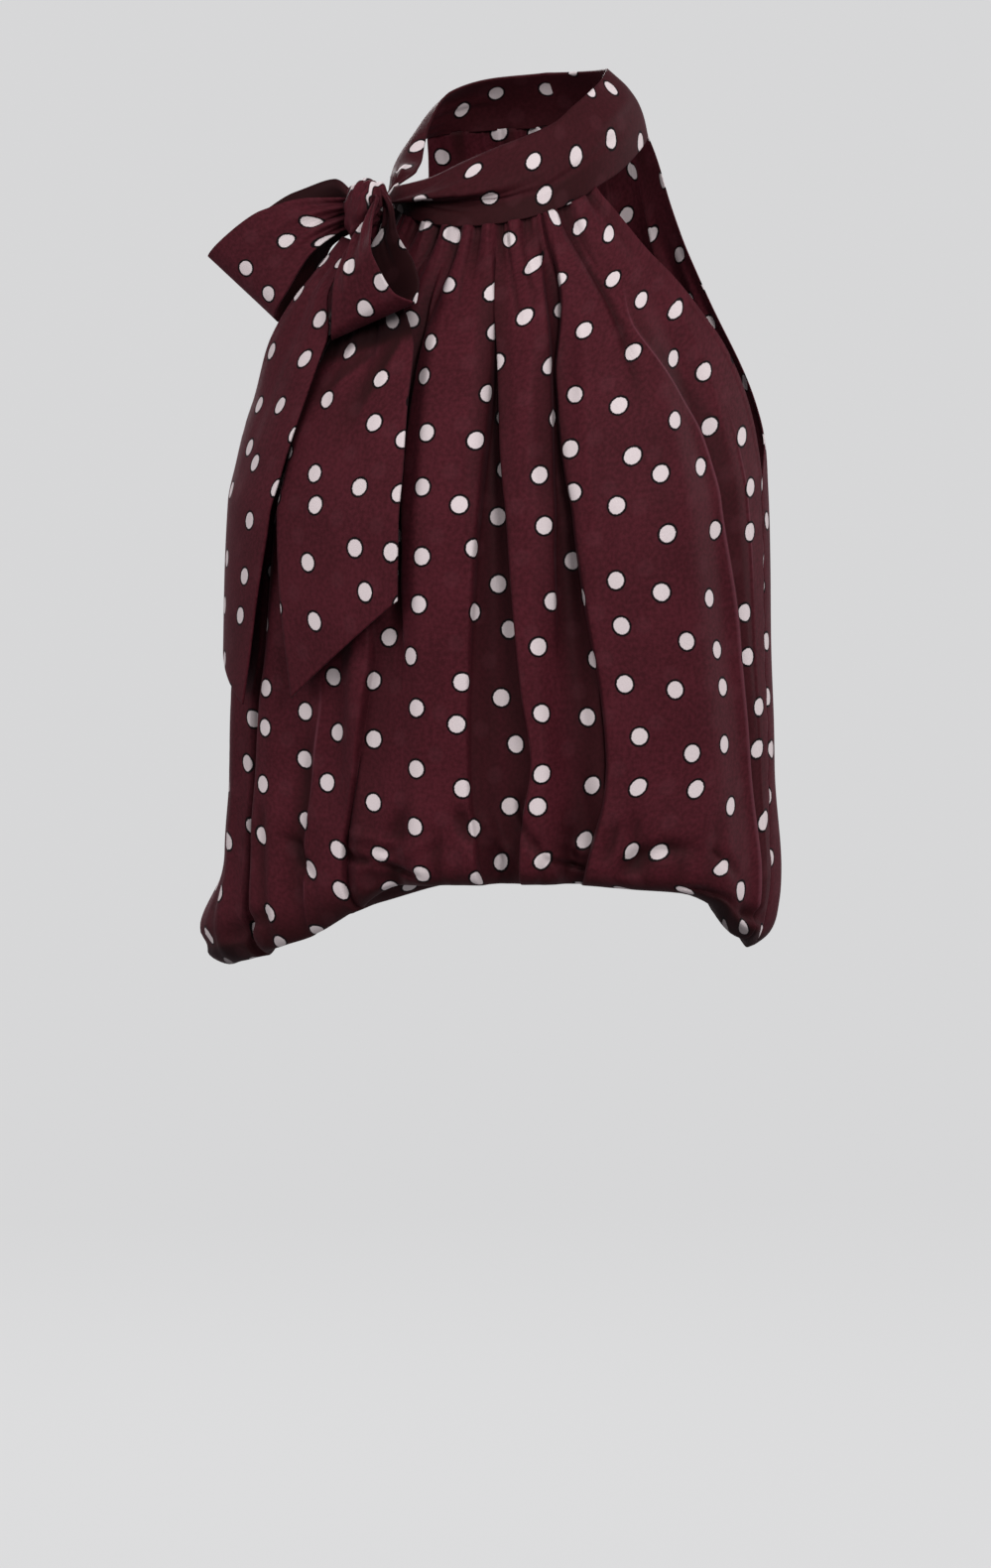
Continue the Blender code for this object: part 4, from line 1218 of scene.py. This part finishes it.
# %% Build the knot
KNOT_CENTRE = (-0.0598, -0.0743, -0.0310)
KNOT_LENGTH = 0.030
KNOT_REACH = 0.0110
KNOT_HEIGHT = 0.0165
KNOT_TURN = math.radians(41.0)
KNOT_PINCH = 0.16
KNOT_CREASE = 0.05
KNOT_CLOSED = 0.86
KNOT_PUCKER = 0.05
KNOT_GIRTH = 0.088
KNOT_AROUND = 110
KNOT_ALONG = 44
KNOT_STROKES = [
    (0.02, 0.30, 0.48, 0.44, 1, 2.2, -1.6), (0.55, 0.34, 0.98, 0.30, -1, 2.2, -1.5),
    (0.05, 0.62, 0.55, 0.72, -1, 2.0, -1.6), (0.60, 0.70, 0.96, 0.58, 1, 2.2, -1.4),
    (0.20, 0.16, 0.40, 0.86, 1, 1.8, -1.2), (0.58, 0.14, 0.74, 0.84, -1, 1.8, -1.2),
    (0.00, 0.46, 0.50, 0.56, 1, 2.4, 1.4), (0.52, 0.52, 1.00, 0.46, 1, 2.4, 1.4),
    (0.70, 0.20, 0.90, 0.80, 1, 1.6, -1.2), (0.08, 0.20, 0.16, 0.80, 1, 1.6, 1.0),
]
around = np.arange(KNOT_AROUND) / KNOT_AROUND
along = np.linspace(0, 1, KNOT_ALONG)
knot_a, knot_b = np.meshgrid(around, along)
angle = 2 * math.pi * (1 - knot_a)
end = np.abs(2 * knot_b - 1)
pinch = 1 - KNOT_PINCH * end ** 2 + KNOT_CREASE * np.cos(3 * angle + 4 * knot_b)
pinch *= 1 - KNOT_CLOSED * ease((end - 0.62) / 0.38)
pinch += KNOT_PUCKER * np.cos(9 * angle + 5 * knot_b) * ease((end - 0.2) / 0.5)
reach = KNOT_REACH * pinch * np.cos(angle)
rise = KNOT_HEIGHT * pinch * np.sin(angle)
slide = KNOT_LENGTH * (knot_b - 0.5)
knot_points = np.stack([
    KNOT_CENTRE[0] - math.cos(KNOT_TURN) * slide - math.sin(KNOT_TURN) * reach,
    KNOT_CENTRE[1] + math.sin(KNOT_TURN) * slide - math.cos(KNOT_TURN) * reach,
    KNOT_CENTRE[2] + rise,
], axis=-1)
knot_height = stroke_height(KNOT_STROKES, knot_a, knot_b, KNOT_GIRTH, KNOT_LENGTH)
knot_points = knot_points + surface_normals(knot_points, closed=True) * knot_height[..., None]
bow_knot = cloth_piece("bow_knot", knot_points, cloth_lengths(knot_points, 22, 0),
                       closed=True, thickness=STRIP_CREPE)

# %% [markdown]
# ## The studio
# The blouse is shown against a pale, even background with soft light. A round floor whose rim
# curves up into a wall has no corner to see from any side. It is left out of the light paths,
# so the sky light alone sets how bright it is. A large soft lamp from the front right shapes
# the pleats, and a weaker one from the left keeps their dark sides readable. A small one above
# lights the band, and two behind the blouse light the views from round the back.

# %% Floor and backdrop
FLOOR_HEIGHT = -1.25
FLOOR_RADIUS = 5.0
SWEEP_RADIUS = 2.0
WALL_TOP = 6.0

profile = [(0.0, FLOOR_HEIGHT), (FLOOR_RADIUS, FLOOR_HEIGHT)]
for step in range(1, 13):
    angle = math.radians(90 * step / 12)
    profile.append((FLOOR_RADIUS + SWEEP_RADIUS * math.sin(angle),
                    FLOOR_HEIGHT + SWEEP_RADIUS * (1 - math.cos(angle))))
profile.append((FLOOR_RADIUS + SWEEP_RADIUS, WALL_TOP))
studio_mesh = bpy.data.meshes.new("studio_sweep")
segments = 96
studio_points = []
for radius, height in profile:
    for segment in range(segments):
        turn = 2 * math.pi * segment / segments
        studio_points.append((radius * math.cos(turn), radius * math.sin(turn), height))
studio_faces = []
for ring in range(len(profile) - 1):
    for segment in range(segments):
        beside = (segment + 1) % segments
        here, above = ring * segments, (ring + 1) * segments
        studio_faces.append((here + segment, here + beside, above + beside, above + segment))
studio_mesh.from_pydata(studio_points, [], studio_faces)
studio_mesh.shade_smooth()
studio = bpy.data.objects.new("studio_sweep", studio_mesh)
bpy.context.scene.collection.objects.link(studio)
paper = bpy.data.materials.new("studio_paper")
paper.use_nodes = True
paper_shader = paper.node_tree.nodes["Principled BSDF"]
paper_shader.inputs["Base Color"].default_value = (0.04, 0.04, 0.04, 1.0)
paper_shader.inputs["Emission Color"].default_value = (1.0, 1.0, 1.01, 1.0)
paper_shader.inputs["Emission Strength"].default_value = 0.662
paper_shader.inputs["Roughness"].default_value = 0.9
paper_shader.inputs["Specular IOR Level"].default_value = 0.0
studio_mesh.materials.append(paper)
studio.visible_diffuse = False
studio.visible_glossy = False
studio.visible_shadow = False
studio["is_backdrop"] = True
print("the backdrop is", 2 * (FLOOR_RADIUS + SWEEP_RADIUS), "m across")

# %% Light
world = bpy.data.worlds.new("studio_light")
bpy.context.scene.world = world
world.use_nodes = True
sky = world.node_tree.nodes["Background"]
sky.inputs["Color"].default_value = (0.95, 0.97, 1.0, 1.0)
sky.inputs["Strength"].default_value = 0.34


def soft_lamp(name, location, size, energy):
    """A square softbox that faces the middle of the blouse."""
    lamp = bpy.data.lights.new(name, "AREA")
    lamp.shape = "SQUARE"
    lamp.size = size
    lamp.energy = energy
    item = bpy.data.objects.new(name, lamp)
    item.location = location
    item.rotation_euler = (CAMERA_TARGET - Vector(location)).to_track_quat("-Z", "Y").to_euler()
    bpy.context.scene.collection.objects.link(item)


# name, place, size in metres, power in watts
SOFTBOXES = [
    ("key_softbox", (2.5, -2.6, 1.4), 1.0, 90.0),
    ("fill_softbox", (-1.9, -2.6, 0.6), 1.8, 38.0),
    ("top_softbox", (0.4, -1.3, 2.0), 0.5, 14.0),
    ("back_softbox", (-1.6, 2.8, 1.2), 1.6, 95.0),
    ("far_side_softbox", (2.6, 2.2, 0.9), 1.6, 40.0),
]
for softbox in SOFTBOXES:
    soft_lamp(*softbox)
bpy.context.scene.view_settings.view_transform = "Standard"
print(len(SOFTBOXES), "softboxes and an even sky")

# %% Compare the boxes and finish
look_box = [list(corner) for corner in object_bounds()]
for axis, name in enumerate("XYZ"):
    cad_size = cad_box[1][axis] - cad_box[0][axis]
    look_size = look_box[1][axis] - look_box[0][axis]
    print(f"{name}: frame {cad_size * 1000:.1f} mm, finished {look_size * 1000:.1f} mm")
